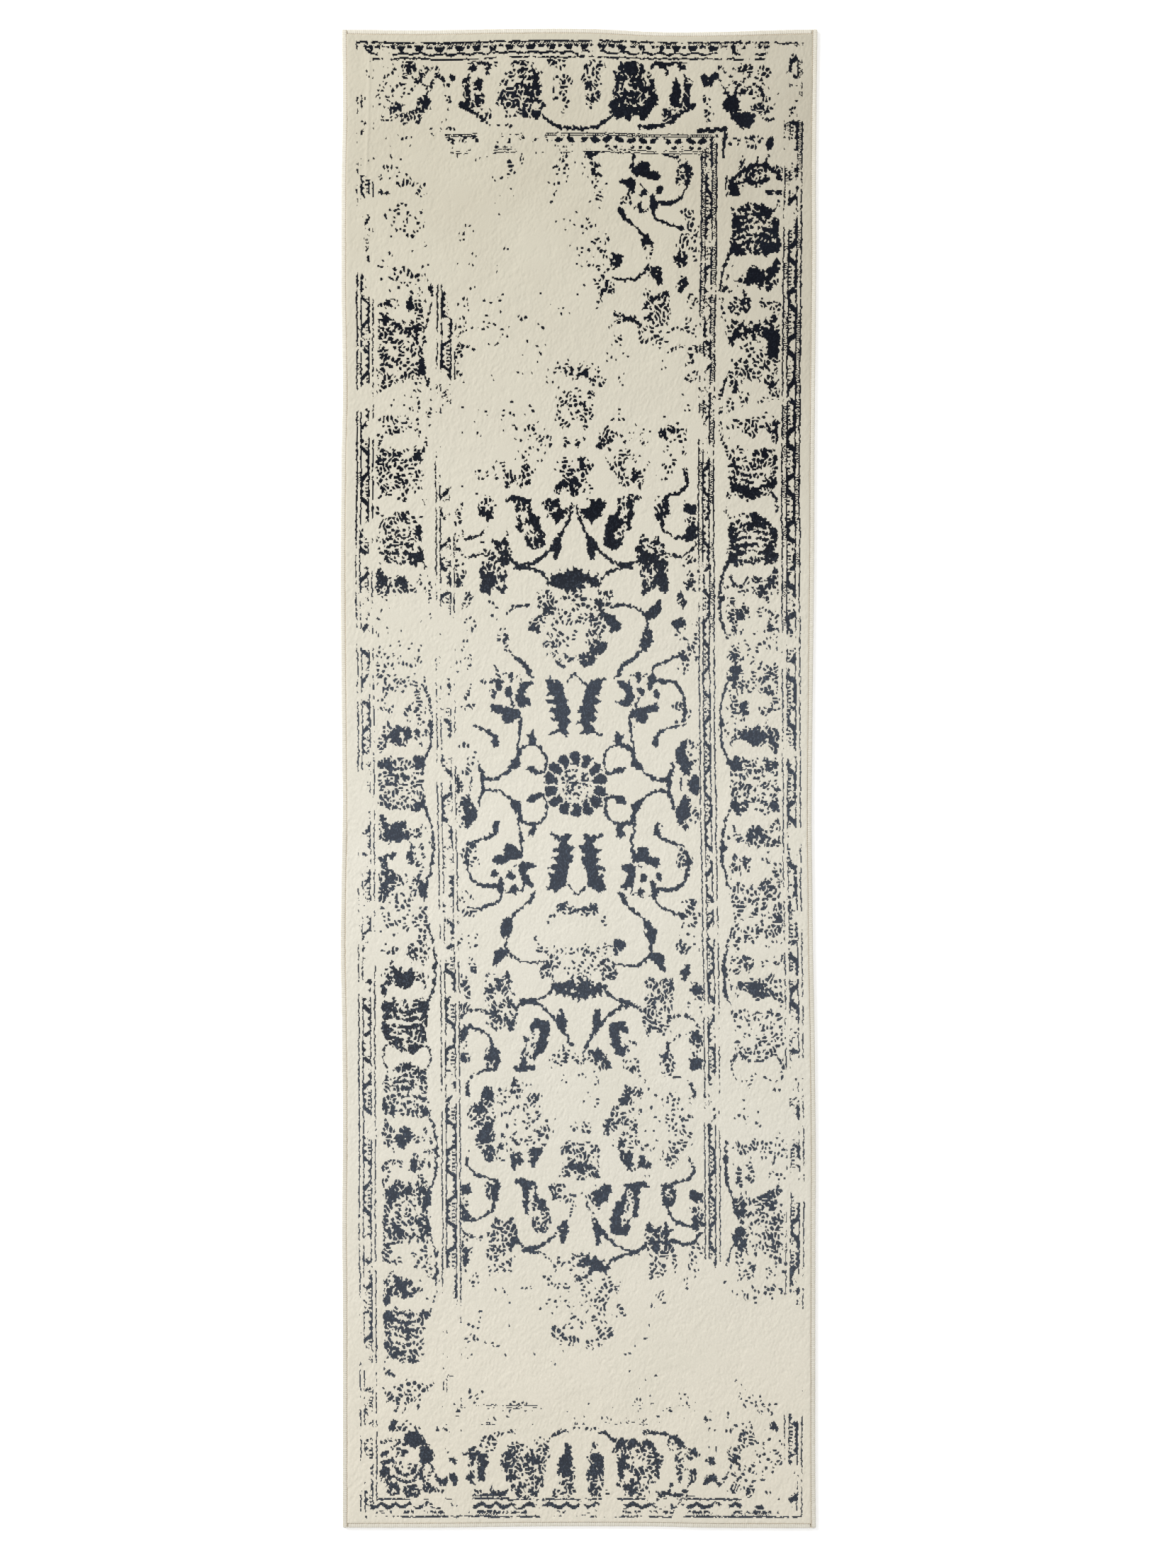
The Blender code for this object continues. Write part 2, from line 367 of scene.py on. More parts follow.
def end_flowers(d):
    """Flowers in the outer part of the unit's end."""
    d.fill([(55, 456), (54, 444), (62, 436), (64, 425), (70, 426), (72, 438), (76, 450), (68, 456)], 0.85)
    d.fill([(84, 450), (80, 432), (90, 428), (93, 416), (97, 426), (99, 438), (92, 448)], 0.82)
    d.blobs((52, 468, 8, 12, -30, 0.5), (72, 466, 14, 12, 0, 0.34))
    leaves = ((62, 478, 30), (78, 482, -20), (92, 462, 40), (106, 470, 10), (112, 456, -40), (98, 440, 70))
    for x, y, turn in leaves:
        d.blob(x, y, 8, 3, turn, 0.8)
    d.blob(108, 446, 10, 15, 30, 0.38)
    d.stroke([(92, 478), (100, 470), (112, 474)], 3, 0.5)
    d.blob(100, 485, 9, 5, 0, 0.6)
    d.fill([(121, 444), (123, 456), (136, 454), (142, 444), (136, 432), (124, 432)], 0.74)
    d.fill([
        (124, 462), (130, 450), (144, 450), (150, 458), (160, 466), (158, 484), (146, 488), (126, 486),
        (120, 474),
    ], 0.58)
    d.blobs((140, 468, 9, 6, 0, 0.92), (158, 444, 5, 6, 0, 0.5))

def border_palmette(d):
    """A ribbed vase with a toothed rim."""
    d.fill([
        (42, -28), (50, -30), (58, -34), (66, -39), (74, -36), (82, -38), (90, -32), (100, -28),
        (108, -18), (112, -4), (111, 12), (113, 28), (108, 38), (99, 35), (93, 41), (86, 35), (78, 39),
        (70, 35), (60, 38), (52, 42), (46, 36), (37, 38), (40, 22), (43, 8), (43, -12),
    ], 0.7)
    d.blob(72, 16, 20, 15, 0, 0.5)
    for t, half in ((22, 24), (12, 30), (2, 31), (-8, 29), (-17, 25)):
        scallop = [(76 - half, t + 3), (76 - half / 2, t - 1), (76, t - 3)]
        scallop += [(76 + half / 2, t - 1), (76 + half, t + 3)]
        d.stroke(scallop, 4, 0.88)
        d.stroke([(76 - half, t + 7), (76, t + 2), (76 + half, t + 7)], 1.8, 0.25)
    d.fill([(38, 37), (42, 22), (50, 18), (56, 26), (54, 38), (48, 34)], 0.96)
    d.fill([(94, 38), (92, 26), (100, 18), (110, 22), (112, 32), (104, 34)], 0.93)
    d.fill([(48, -22), (56, -32), (66, -38), (76, -36), (88, -31), (98, -24), (76, -26)], 0.88)
    d.blobs((106, -4, 6, 12, 0, 0.88), (49, -8, 6, 12, 0, 0.88))
    d.stroke([(44, -28), (39, -36), (37, -49)], 3, 0.8)
    d.stroke([(104, -28), (110, -36), (110, -48)], 3.4, 0.7)


def border_vine(d):
    """The vine along the border's inner side, with its thorns."""
    d.stroke([(39, 38), (34, 50), (30, 66), (29, 88), (30, 110), (34, 128), (40, 144), (42, 152)], 3.4)
    d.blobs((32, 86, 3, 5, 30), (38, 72, 2.5, 8, 20, 0.45), (40, 100, 3, 16, 0, 0.36))


def border_spray(d):
    """A spray of leaves."""
    d.stroke([(45, 54), (47, 62), (56, 68)], 3.4, 0.8)
    d.fill([
        (46, 62), (46, 72), (50, 80), (62, 77), (66, 87), (74, 79), (80, 86), (90, 83), (97, 93),
        (101, 84), (113, 80), (113, 50), (108, 40), (101, 50), (94, 58), (84, 54), (76, 52), (68, 55),
        (62, 63), (54, 67),
    ], 0.7)
    d.fill([
        (62, 66), (66, 78), (80, 78), (92, 74), (104, 68), (108, 56), (100, 56), (90, 62), (78, 56),
        (68, 58),
    ], 0.93)
    d.blobs((108, 52, 5, 9, 0, 0.9), (94, 64, 3, 3, 0, 0.3))


def border_flowers(d):
    """Small flowers and the hooked stem."""
    d.blobs(
        (64, 107, 7, 12, 0, 0.88), (62, 93, 4, 5, 0, 0.7), (50, 112, 8, 17, 0, 0.5),
        (48, 130, 6, 8, 0, 0.5), (47, 92, 4, 8, 0, 0.5), (89, 106, 7, 8, 0, 0.62),
    )
    d.stroke([(94, 104), (103, 106), (111, 108)], 4.4, 0.85)
    d.blob(106, 118, 7, 12, 20, 0.66)


def medallion(d):
    """Half of the medallion where the border turns back."""
    d.fill([(41, 136), (60, 138), (104, 132), (106, 176), (42, 176)], 0.42)
    d.fill([(40, 162), (38, 150), (42, 140), (54, 138), (60, 150), (60, 166), (48, 172)], 0.86)
    d.fill([
        (60, 138), (72, 142), (84, 132), (94, 126), (106, 122), (113, 130), (113, 176), (98, 176),
        (96, 160), (86, 152), (74, 150), (62, 152),
    ], 0.8)
    d.fill([(88, 150), (98, 140), (108, 146), (113, 158), (113, 176), (102, 176), (98, 160)], 0.95)
    d.blob(107, 138, 3, 7, 0, 0.2)
    d.stroke([(62, 172), (66, 162), (76, 158), (85, 162), (88, 173)], 3.6, 0.9)
    d.blob(75, 172, 5, 4, 0, 0.9)
    for x in (50, 58, 70):
        d.stroke([(x, 142), (x + 2, 131)], 2.6, 0.85)

def end_palmette(d):
    """The palmette of the end border."""
    d.fill([
        (44, 92), (50, 104), (56, 114), (64, 108), (70, 112), (76, 108), (84, 104), (94, 110), (102, 104),
        (106, 94), (116, 88), (115, 76), (112, 66), (109, 54), (104, 45), (96, 34), (88, 27), (70, 28),
        (62, 31), (60, 39), (50, 44), (54, 56), (50, 68), (52, 78), (47, 86),
    ], 0.68)
    d.fill([
        (46, 92), (56, 98), (66, 96), (76, 99), (88, 90), (102, 82), (115, 86), (106, 94), (102, 106),
        (92, 110), (84, 104), (74, 111), (66, 106), (58, 114), (52, 108),
    ], 0.92)
    d.fill([(62, 44), (62, 32), (70, 28), (88, 28), (95, 36), (93, 46), (84, 42), (74, 46)], 0.86)
    d.fill([(54, 46), (62, 50), (60, 64), (56, 80), (50, 76), (55, 62)], 0.9)
    d.fill([(98, 46), (106, 54), (109, 68), (114, 80), (106, 82), (100, 70)], 0.88)
    for row, (left, right) in ((54, (58, 96)), (65, (58, 98)), (76, (56, 98)), (86, (52, 92))):
        d.stroke([(left, row + 3), ((left + right) / 2, row - 2), (right, row + 3)], 4, 0.85)


def split_leaf(d):
    """A split leaf on its curved arm."""
    d.fill([
        (141, 48), (135, 56), (136, 66), (132, 76), (134, 88), (142, 94), (150, 92), (148, 74), (146, 56),
    ], 0.9)
    d.fill([
        (150, 40), (156, 48), (164, 52), (161, 68), (160, 84), (168, 86), (164, 96), (154, 98), (149, 90),
        (151, 70), (152, 54),
    ], 0.88)
    d.stroke([(148, 56), (149, 72), (147, 86)], 2.4, 0.15)
    d.blobs((132, 104, 12, 12, 0, 0.72), (136, 100, 5, 3, 0, 0.2))
    d.stroke([
        (92, 121), (104, 120), (116, 119), (127, 115), (137, 109), (146, 101), (156, 95), (166, 89),
    ], 5)
    d.blob(93, 120, 6, 4)


def leaf_band(d):
    """The leaf band along the guard, and the small leaves beside it."""
    d.fill([
        (104, 40), (106, 32), (112, 26), (166, 26), (150, 31), (128, 34), (126, 40), (118, 36), (110, 36),
    ], 0.92)
    d.blobs((128, 42, 3, 6, 0, 0.85), (148, 36, 6, 4, 0, 0.9))
    d.fill([(174, 48), (180, 44), (186, 52), (194, 44), (200, 50), (192, 58), (186, 63), (178, 60)], 0.88)
    d.blobs((183, 79, 6, 8, 20, 0.72), (188, 102, 8, 12, 0, 0.28))


def centre_leaf(d):
    """The leaf on the centre line."""
    d.fill([
        (6, 54), (12, 44), (8, 36), (16, 30), (28, 26), (42, 26), (40, 38), (30, 42), (34, 56), (32, 66),
        (35, 76), (31, 86), (22, 92), (23, 104), (16, 106), (13, 92), (8, 84), (12, 72), (6, 64),
    ], 0.66)
    d.fill([(12, 60), (20, 56), (30, 62), (33, 74), (28, 86), (16, 88), (10, 80), (16, 70)], 0.9)
    d.blob(16, 40, 6, 6, 0, 0.8)
    d.stroke([(-3, 124), (10, 125), (24, 123), (36, 117), (48, 108)], 4)


def corner_flower(d):
    """Three petals round an eye, and the leaves that curl round them."""
    d.fill([
        (208, 84), (214, 75), (224, 74), (231, 80), (230, 92), (232, 98), (222, 101), (214, 98), (207, 94),
    ], 0.97)
    d.fill([
        (218, 102), (230, 100), (240, 98), (252, 102), (253, 112), (246, 121), (232, 122), (224, 114),
    ], 0.97)
    d.fill([(244, 91), (250, 86), (262, 85), (267, 92), (262, 99), (250, 98)], 0.86)
    d.stroke([(233, 73), (240, 63), (251, 60), (261, 66), (266, 78)], 5.5, 0.86)
    d.stroke([(260, 102), (271, 96), (281, 89), (292, 82)], 4.5, 0.8)
    d.stroke([(264, 84), (276, 78), (290, 75)], 4.5, 0.75)
    d.stroke([(257, 106), (270, 110), (284, 105)], 4.5, 0.75)
    d.fill([(270, 56), (277, 47), (286, 51), (289, 64), (282, 74), (273, 70)], 0.85)
    d.fill([(256, 38), (263, 29), (274, 31), (280, 42), (275, 51), (261, 51)], 0.88)
    d.fill([(227, 38), (233, 28), (247, 27), (253, 36), (250, 45), (237, 46)], 0.9)
    d.fill([(209, 42), (215, 33), (224, 35), (227, 47), (218, 52)], 0.84)
    d.stroke([(226, 73), (228, 60), (221, 48)], 4, 0.85)
    d.stroke([(214, 73), (206, 58), (197, 44)], 4, 0.85)
    d.stroke([(232, 60), (240, 51), (256, 52), (268, 58)], 4.5, 0.8)
    d.stroke([(214, 62), (226, 54), (238, 52)], 4, 0.75)
    d.blobs((248, 73, 11, 7, 20, 0.5), (203, 37, 7, 4, 20, 0.75))


def bracket(d):
    """The bracket over the inner guard's corner."""
    d.stroke([(174, 125), (198, 124), (212, 122)], 5, 0.9)

def corner_spray(d):
    """What the side border holds between its last palmette and the corner."""
    d.fill([(38, 2), (38, 22), (44, 28), (52, 14), (56, 4), (46, 0)])
    d.fill([
        (46, 26), (52, 36), (62, 44), (76, 48), (94, 46), (92, 30), (96, 22), (80, 14), (62, 14), (50, 18),
    ], 0.6)
    d.stroke([(46, 28), (58, 38), (74, 44), (92, 44), (104, 34), (112, 26)], 5, 0.95)
    d.stroke([(52, 20), (66, 22), (80, 20), (94, 26)], 5, 0.95)
    d.blob(106, 38, 8, 8, 30, 0.95)
    d.stroke([(94, 8), (104, 6), (113, 8)], 5)
    for x, y in ((58, 50), (78, 54), (92, 54)):
        d.stroke([(x - 4, y - 8), (x + 2, y + 4)], 3)
    d.stroke([(35, -2), (34, 10), (34, 30)], 2.8)
    d.blobs((97, 76, 6, 9, -20), (70, 70, 8, 5, 0, 0.6))
    d.stroke([(33, 92), (31, 76), (30, 56)], 4)
    d.blobs((50, 77, 14, 7, 0, 0.42), (76, 82, 18, 8, 0, 0.36))


# A quarter of the field's unit: across from the centre line, along from the rosette.
FIELD = drawn(
    (-4, -4), (184, 492), rosette, twin_leaves, scroll, stem_petals, hook_vine, lower_vine, drop_vine,
    big_palmette, half_flower, small_flower, side_palmette, palmette_vines, lobed_leaf, toothed_leaf,
    mottled_pod, centre_flower, end_flowers,
)
# The side border's unit: across from the field's edge, along from the middle of a palmette.
SIDE = drawn((-2, -50), (148, 174), border_palmette, border_vine, border_spray, border_flowers, medallion)
# The end border's half: across from the centre line, and in from the outer guard's outer line.
END = drawn((-4, 20), (300, 136), end_palmette, split_leaf, leaf_band, centre_leaf, corner_flower, bracket)
# The side border on from its last palmette: across, and along from that palmette.
SPRAY = drawn((-2, 0), (148, 104), corner_spray)


def centre_x(y):
    """How far the design's centre line drifts across the weave."""
    return np.interp(y, (-1065, -600, -300, -100, 100, 450, 850, 1065), (3, 2, 0, -3.5, -6.5, -7.5, -3, -3))


def normal(values):
    """The same values, moved and scaled to a mean of 0 and a spread of 1."""
    return (values - values.mean()) / values.std()


def to_uniform(n):
    """Normal noise as values spread evenly from 0 to 1."""
    return 0.5 * (1 + np.tanh(0.7978845 * (n + 0.044715 * n**3)))


def white_noise(shape, seed):
    rng = np.random.default_rng(seed)
    return rng.standard_normal(shape).astype(np.float32)


def soften(values, size_x, size_y):
    """The same values, blurred over about that many millimetres each way."""
    fy = np.fft.fftfreq(values.shape[0])[:, None] * (size_y / CELL_Y)
    fx = np.fft.rfftfreq(values.shape[1])[None] * (size_x / CELL_X)
    return np.fft.irfft2(np.fft.rfft2(values) * np.exp(-4.5 * (fx**2 + fy**2)), s=values.shape)


def noise(shape, size_x, size_y, seed):
    """Smooth noise with a normal spread, of about the given grain in millimetres."""
    return normal(soften(white_noise(shape, seed), size_x, size_y))


def maze(shape, wave, spread, seed):
    """Noise that winds about in threads, with about the given spacing in millimetres."""
    fy = np.fft.fftfreq(shape[0])[:, None] / CELL_Y
    fx = np.fft.rfftfreq(shape[1])[None] / CELL_X
    band = np.exp(-(((np.hypot(fx, fy) * wave - 1) / spread) ** 2))
    return normal(np.fft.irfft2(np.fft.rfft2(white_noise(shape, seed)) * band, s=shape))


# Where the pile has worn to cream: centre, half sizes, and how much of the ink is gone.
WORN = (
    # Field, from its head end to its foot.
    (-160, 848, 40, 45, 0.95), (-60, 850, 28, 45, 0.7), (-14, 852, 28, 44, 0.82),
    (-105, 735, 95, 145, 0.97), (-30, 710, 50, 95, 0.97), (20, 800, 30, 60, 0.75), (28, 728, 22, 42, 0.5),
    (80, 822, 30, 14, 0.45), (100, 735, 25, 25, 0.4), (8, 642, 42, 48, 0.9), (110, 650, 25, 45, 0.42),
    (152, 650, 20, 40, 0.6), (-5, 620, 45, 22, 0.9), (-100, 560, 72, 60, 0.95), (-150, 500, 50, 60, 0.95),
    (60, 590, 45, 45, 0.85), (130, 590, 50, 22, 0.6), (100, 545, 64, 50, 0.93), (70, 520, 40, 30, 0.8),
    (0, 498, 36, 22, 0.6), (-15, 540, 30, 26, 0.5), (124, 460, 26, 24, 0.8), (62, 455, 28, 28, 0.6),
    (100, 450, 20, 25, 0.7), (-60, 470, 45, 34, 0.62), (-60, 500, 25, 14, 0.6), (-84, 392, 50, 24, 0.12),
    (50, 410, 30, 24, 0.12), (-150, 430, 40, 34, 0.75), (-10, 424, 56, 40, 0.17), (-2, 440, 26, 22, 0.3),
    (-135, 375, 20, 20, 0.4), (-138, 310, 26, 30, 0.45), (100, 392, 22, 20, 0.35),
    (130, 335, 26, 16, 0.35), (-60, 262, 20, 16, 0.4), (-8, 236, 60, 34, 0.34), (-105, 215, 25, 40, 0.4),
    (-150, 190, 40, 65, 0.88), (-20, 180, 24, 16, 0.6), (-42, 182, 18, 18, 0.45), (-160, 100, 22, 40, 0.5),
    (-165, 34, 24, 28, 0.8), (20, -245, 40, 16, 0.35), (0, -285, 28, 18, 0.3), (-140, -305, 24, 24, 0.45),
    (80, -405, 26, 24, 0.55), (0, -215, 62, 26, 0.99), (-50, -235, 30, 20, 0.5),
    (-155, -215, 30, 45, 0.55), (-10, -262, 22, 14, 0.5), (110, -320, 30, 34, 0.4),
    (150, -350, 30, 40, 0.45), (-100, -340, 25, 24, 0.25), (-20, -392, 22, 12, 0.5),
    (-16, -450, 50, 48, 0.95), (-150, -410, 18, 30, 0.3), (115, -440, 45, 30, 0.65),
    (105, -495, 20, 30, 0.5), (142, -495, 24, 34, 0.6), (142, -550, 20, 20, 0.4), (0, -605, 28, 22, 0.55),
    (-120, -650, 24, 24, 0.35), (122, -685, 24, 24, 0.4), (-110, -692, 34, 20, 0.6),
    (-18, -572, 26, 18, 0.5), (22, -572, 22, 16, 0.25), (-60, -640, 90, 34, 0.22),
    (-28, -690, 28, 20, 0.7), (-4, -688, 20, 18, 0.4), (-105, -750, 70, 58, 0.9), (-28, -750, 30, 40, 0.3),
    (14, -748, 36, 46, 0.68), (20, -802, 40, 14, 0.5), (130, -775, 85, 75, 0.93), (15, -852, 215, 48, 1.0),
    (30, -818, 120, 14, 0.8),
    # Left border and its guards.
    (-308, 938, 34, 88, 0.97), (-302, 1000, 20, 18, 0.92), (-250, 885, 70, 48, 0.95),
    (-310, 775, 30, 58, 0.95), (-250, 790, 45, 34, 0.62), (-280, 776, 24, 26, 0.6),
    (-250, 748, 70, 20, 0.85), (-266, 704, 36, 22, 0.8), (-194, 805, 26, 92, 0.96),
    (-190, 720, 25, 25, 0.5), (-300, 640, 25, 60, 0.2), (-262, 588, 38, 46, 0.4),
    (-240, 575, 24, 26, 0.32), (-185, 560, 18, 30, 0.3), (-265, 535, 62, 22, 0.9),
    (-262, 500, 46, 18, 0.8), (-195, 510, 28, 46, 0.9), (-185, 400, 26, 62, 0.65),
    (-240, 450, 44, 44, 0.42), (-300, 340, 25, 60, 0.45), (-225, 385, 20, 30, 0.5),
    (-185, 320, 20, 40, 0.55), (-185, -10, 20, 44, 0.3), (-250, 222, 62, 44, 0.92),
    (-250, 180, 40, 40, 0.8), (-200, 190, 25, 100, 0.65), (-305, 252, 25, 34, 0.5),
    (-245, 100, 60, 18, 0.35), (-265, 142, 40, 18, 0.4), (-185, 80, 22, 60, 0.5),
    (-300, -20, 26, 40, 0.35), (-262, 355, 30, 24, 0.34), (-282, 414, 20, 28, 0.3),
    (-280, 15, 20, 28, 0.3), (-320, -80, 18, 130, 0.7), (-255, -20, 40, 35, 0.2),
    (-264, -208, 44, 24, 0.7), (-240, -365, 26, 26, 0.22), (-255, -175, 30, 26, 0.3),
    (-187, -200, 21, 76, 0.42), (-262, -620, 32, 60, 0.15), (-190, -440, 22, 40, 0.5),
    (-250, -480, 46, 60, 0.35), (-306, -738, 20, 36, 0.6), (-305, -235, 16, 100, 0.38),
    (-180, -345, 20, 30, 0.35), (-185, -712, 22, 50, 0.15), (-312, -805, 30, 90, 0.45),
    (-195, -836, 30, 104, 0.84), (-225, -820, 25, 20, 0.4), (-250, -862, 50, 35, 0.4),
    # Right border and its guards.
    (288, 985, 20, 70, 0.96), (306, 1030, 26, 28, 0.85), (308, 925, 20, 26, 0.45), (312, 975, 14, 50, 0.6),
    (262, 1036, 40, 20, 0.7), (300, 840, 24, 60, 0.4), (190, 655, 26, 44, 0.5), (190, 840, 20, 80, 0.24),
    (188, 240, 20, 40, 0.25), (262, 800, 28, 24, 0.22), (215, 600, 25, 22, 0.45), (250, 588, 30, 30, 0.42),
    (238, 597, 24, 22, 0.35), (245, 525, 50, 26, 0.6), (186, 505, 25, 50, 0.55), (235, 455, 46, 36, 0.3),
    (225, 380, 22, 26, 0.5), (262, 248, 32, 20, 0.4), (240, 275, 26, 22, 0.35), (250, 190, 46, 22, 0.75),
    (262, 142, 32, 16, 0.5), (258, 168, 26, 20, 0.45), (280, -85, 26, 24, 0.4), (262, -635, 28, 34, 0.35),
    (300, 130, 25, 130, 0.25), (310, 50, 20, 45, 0.4), (255, -15, 32, 30, 0.3), (310, -110, 22, 40, 0.2),
    (225, -220, 26, 30, 0.6), (262, -236, 30, 34, 0.5), (300, -215, 25, 40, 0.3), (290, -260, 30, 40, 0.3),
    (228, -350, 34, 36, 0.75), (262, -350, 30, 44, 0.4), (235, 484, 40, 26, 0.2), (300, -342, 25, 22, 0.5),
    (243, -462, 70, 56, 0.95), (300, -480, 30, 34, 0.72), (255, -550, 42, 34, 0.6),
    (250, -165, 40, 34, 0.3), (302, -548, 25, 26, 0.3), (302, -640, 22, 80, 0.45),
    (235, -808, 130, 92, 1.0), (185, -740, 30, 70, 0.95), (305, -820, 35, 95, 0.95),
    (288, -1005, 38, 46, 0.85), (240, -1032, 40, 15, 0.4),
    # Ends.
    (-190, 1000, 20, 30, 0.2), (-276, 1000, 22, 26, 0.45), (-246, 978, 24, 14, 0.6),
    (-150, 955, 26, 50, 0.15), (-112, 925, 34, 12, 0.85), (-100, 1014, 26, 16, 0.45),
    (-95, 965, 24, 34, 0.35), (-20, 988, 18, 40, 0.85), (18, 998, 22, 30, 0.42), (-78, 1012, 22, 20, 0.22),
    (80, 978, 26, 26, 0.08), (245, 1008, 36, 24, 0.4), (-235, 995, 40, 30, 0.3), (40, -980, 36, 24, 0.2),
    (150, -975, 20, 24, 0.4), (232, -1000, 40, 30, 0.2), (255, -945, 30, 18, 0.4),
    (-90, 903, 72, 22, 0.55), (0, -905, 60, 22, 0.85), (-130, -908, 76, 20, 0.62), (95, -908, 50, 20, 0.7),
    (170, -912, 60, 20, 0.88), (-65, -940, 34, 20, 0.55), (-185, -1030, 25, 22, 0.6),
    (30, -1025, 34, 18, 0.5), (-312, -975, 22, 80, 0.5), (90, -1022, 60, 18, 0.2),
    (-60, -985, 30, 34, 0.25), (100, -985, 34, 34, 0.35), (190, -965, 24, 26, 0.15),
    (-120, -945, 22, 22, 0.4), (250, -960, 30, 30, 0.3),
)


# How sharply a worn patch ends: the larger, the sharper.
WORN_EDGE = 7.0


def worn(x, y):
    """How much of the ink has worn away, from 0 to 1."""
    left = np.ones(x.shape, np.float32)
    for cx, cy, rx, ry, strength in WORN:
        near = np.hypot((x - cx) / rx, (y - cy) / ry)
        left *= 1 - strength / (1 + np.exp(WORN_EDGE * (np.minimum(near, 6) - 1)))
    return 1 - left


def freshness(y):
    """How little the yarn has faded: from 0 over most of the rug to 1 towards its head end."""
    return np.clip((y - 150) / 300, 0, 1)


def every(value, pitch, share):
    """True over the first share of each pitch."""
    return (value % pitch) < pitch * share


def zigzag(value, pitch):
    """A triangle wave from -1 to 1."""
    return 4 * np.abs((value / pitch) % 1 - 0.5) - 1


def oval(x, y, rx, ry):
    return (x / rx) ** 2 + (y / ry) ** 2 < 1


def layer(*inks):
    return np.maximum.reduce(inks)


def inked(where, ink):
    return np.where(where, ink, 0.0)


def line(q, at, thick=1.5, ink=1.0):
    """A ruled line where q is near a value."""
    return inked(np.abs(q - at) < thick / 2, ink)


def pair(q, y, first, second, rungs):
    """Two ruled lines, thicker where the yarn is fresh, with or without rungs between them."""
    thick = 1.8 + 0.5 * freshness(y)
    between = (q > first) & (q < second) & every(y + 0.4 * q, 3.0, 0.5)
    return layer(line(q, first, thick, 0.97), line(q, second, thick, 0.97), inked(between, rungs))


def vine(q, along, middle, swing, pitch, inner_run, weight):
    """A vine that runs along one line, crosses as a wedge to the other and back, with lace beside it."""
    beat = np.abs((along / pitch) % 1 - 0.5) * 2
    past = (beat - inner_run) * pitch / 2
    off = (q - middle) / swing
    side = np.clip(past / 4.5, -1, 1)
    run = np.abs(q - middle - swing * side) < weight
    wedge = (np.abs(past - 3.6 * off) < 2.5 + weight) & (np.abs(off) < 1.2)
    bud = np.abs((along % 9.0) - 4.5) / 3.2 + np.abs(off - 0.75 * side) * np.abs(swing) / 3.4 < 1
    lace = (side > 0.9) & (np.abs(off + 0.55) < 0.42) & every(along, 5.2, 0.5)
    return layer(inked(run | wedge, 0.95), inked(bud, 0.92), inked(lace, 0.8))


def left_line(y):
    """The outermost ruled line on the left. Its points and those of the two below follow printed readings."""
    at = (-1065, -600, -300, 100, 300, 450, 1065)
    return np.interp(y, at, (-311, -313, -314, -315, -318, -316.5, -316))


def right_line(y):
    at = (-1065, -600, -300, -100, 400, 600, 850, 1000)
    return np.interp(y, at, (316, 319.5, 318, 314.8, 313.2, 314.2, 317, 318))


def head_line(x):
    at = (-320, -200, -140, -60, 20, 100, 320)
    return END_OUTER + np.interp(x, at, (0.6, -1.5, 0, 2.5, 2.5, -0.5, -1.5))


def from_end(x, y):
    """How far in from the outermost line of the nearer end a point lies."""
    return np.where(y > 0, head_line(x), END_OUTER + 0.7) - np.abs(y)


def outer_guard(x, y, q, e):
    """Stripes round the whole design, on its sides: two lines, a vine between two more, and a last line."""
    left = x < 0
    rungs = 0.5 * freshness(y)
    on_left = layer(
        pair(q, y, 0.4, 6.2, 0.3 * rungs), pair(q, y, 17.2, 23.0, 0.0),
        vine(q, y + 20, 11.7, -5.0, 72.0, 0.5, 1.0),
    )
    on_right = layer(
        pair(q, y, 0.4, 6.6, rungs), pair(q, y, 18.4, 25.0, rungs),
        vine(q, y + 12, 12.5, -5.0, 66.0, 0.36, 2.1),
    )
    inside = (q > -1) & (q < np.where(left, 24.2, 26.2)) & (e > q)
    return inside, np.where(left, on_left, on_right)


def outer_guard_end(x, y, e, q):
    """The same at the ends: buds hang from a comb, over a wavy line at the head and arches at the foot."""
    x = x + 3.5 * np.sin(x / 21.0)
    head = y > 0
    pitch = 26.0
    middle = pitch / 2
    bud = (np.abs((x + 1) % pitch - middle) < 7.0 - 0.55 * np.abs(e - 7)) & (e < np.where(head, 13, 9))
    small = (np.abs((x + 14) % pitch - middle) < 4.0) & (e < 9)
    comb = (e > 1.2) & (e < 5) & every(x + e, 3.4, 0.5)
    arch = 19.8 - 6.0 * np.abs(np.sin(np.pi * x / 24.0))
    wave = np.where(head, 16.6 + 1.2 * np.cos(2 * np.pi * x / pitch), arch)
    stripes = layer(
        line(e, 0.4, 2.8, 0.88), inked(comb, np.where(head, 0.62, 0.25)),
        inked((e > 5) & (bud | small), np.where(head, 0.92, 0.72)),
        inked(np.abs(e - wave) < np.where(head, 1.7, 3.0), 0.94),
        line(e, np.where(head, 23.6, 25.3), 2.8, 0.9),
    )
    return (e > -1) & (e < 28) & (e <= q), stripes


def inner_guard(x, y, u, e):
    """Stripes round the field, on its sides, built as the outer ones are."""
    left = x < 0
    g = u - np.where(left, LEFT_GUARD, RIGHT_GUARD)
    rungs = 0.7 * freshness(y)
    on_left = layer(
        pair(g, y, 0.4, 6.0, 0.0), pair(g, y, 20.2, 26.0, 0.0), vine(g, y + 42, 13.1, 5.6, 71.5, 0.5, 0.8)
    )
    on_right = layer(
        pair(g, y, 0.2, 6.0, rungs), pair(g, y, 15.2, 21.4, rungs), vine(g, y + 42, 10.7, 3.6, 71.5, 0.5, 1.0)
    )
    inside = (g > -1) & (g < np.where(left, 27.2, 22.6)) & (before_mitre(e) > 22 - g)
    return inside, np.where(left, on_left, on_right)


def before_mitre(e):
    """How far across an inner guard its corner's mitre lies, at a place so far in from the end."""
    return (e - 131) * 0.83


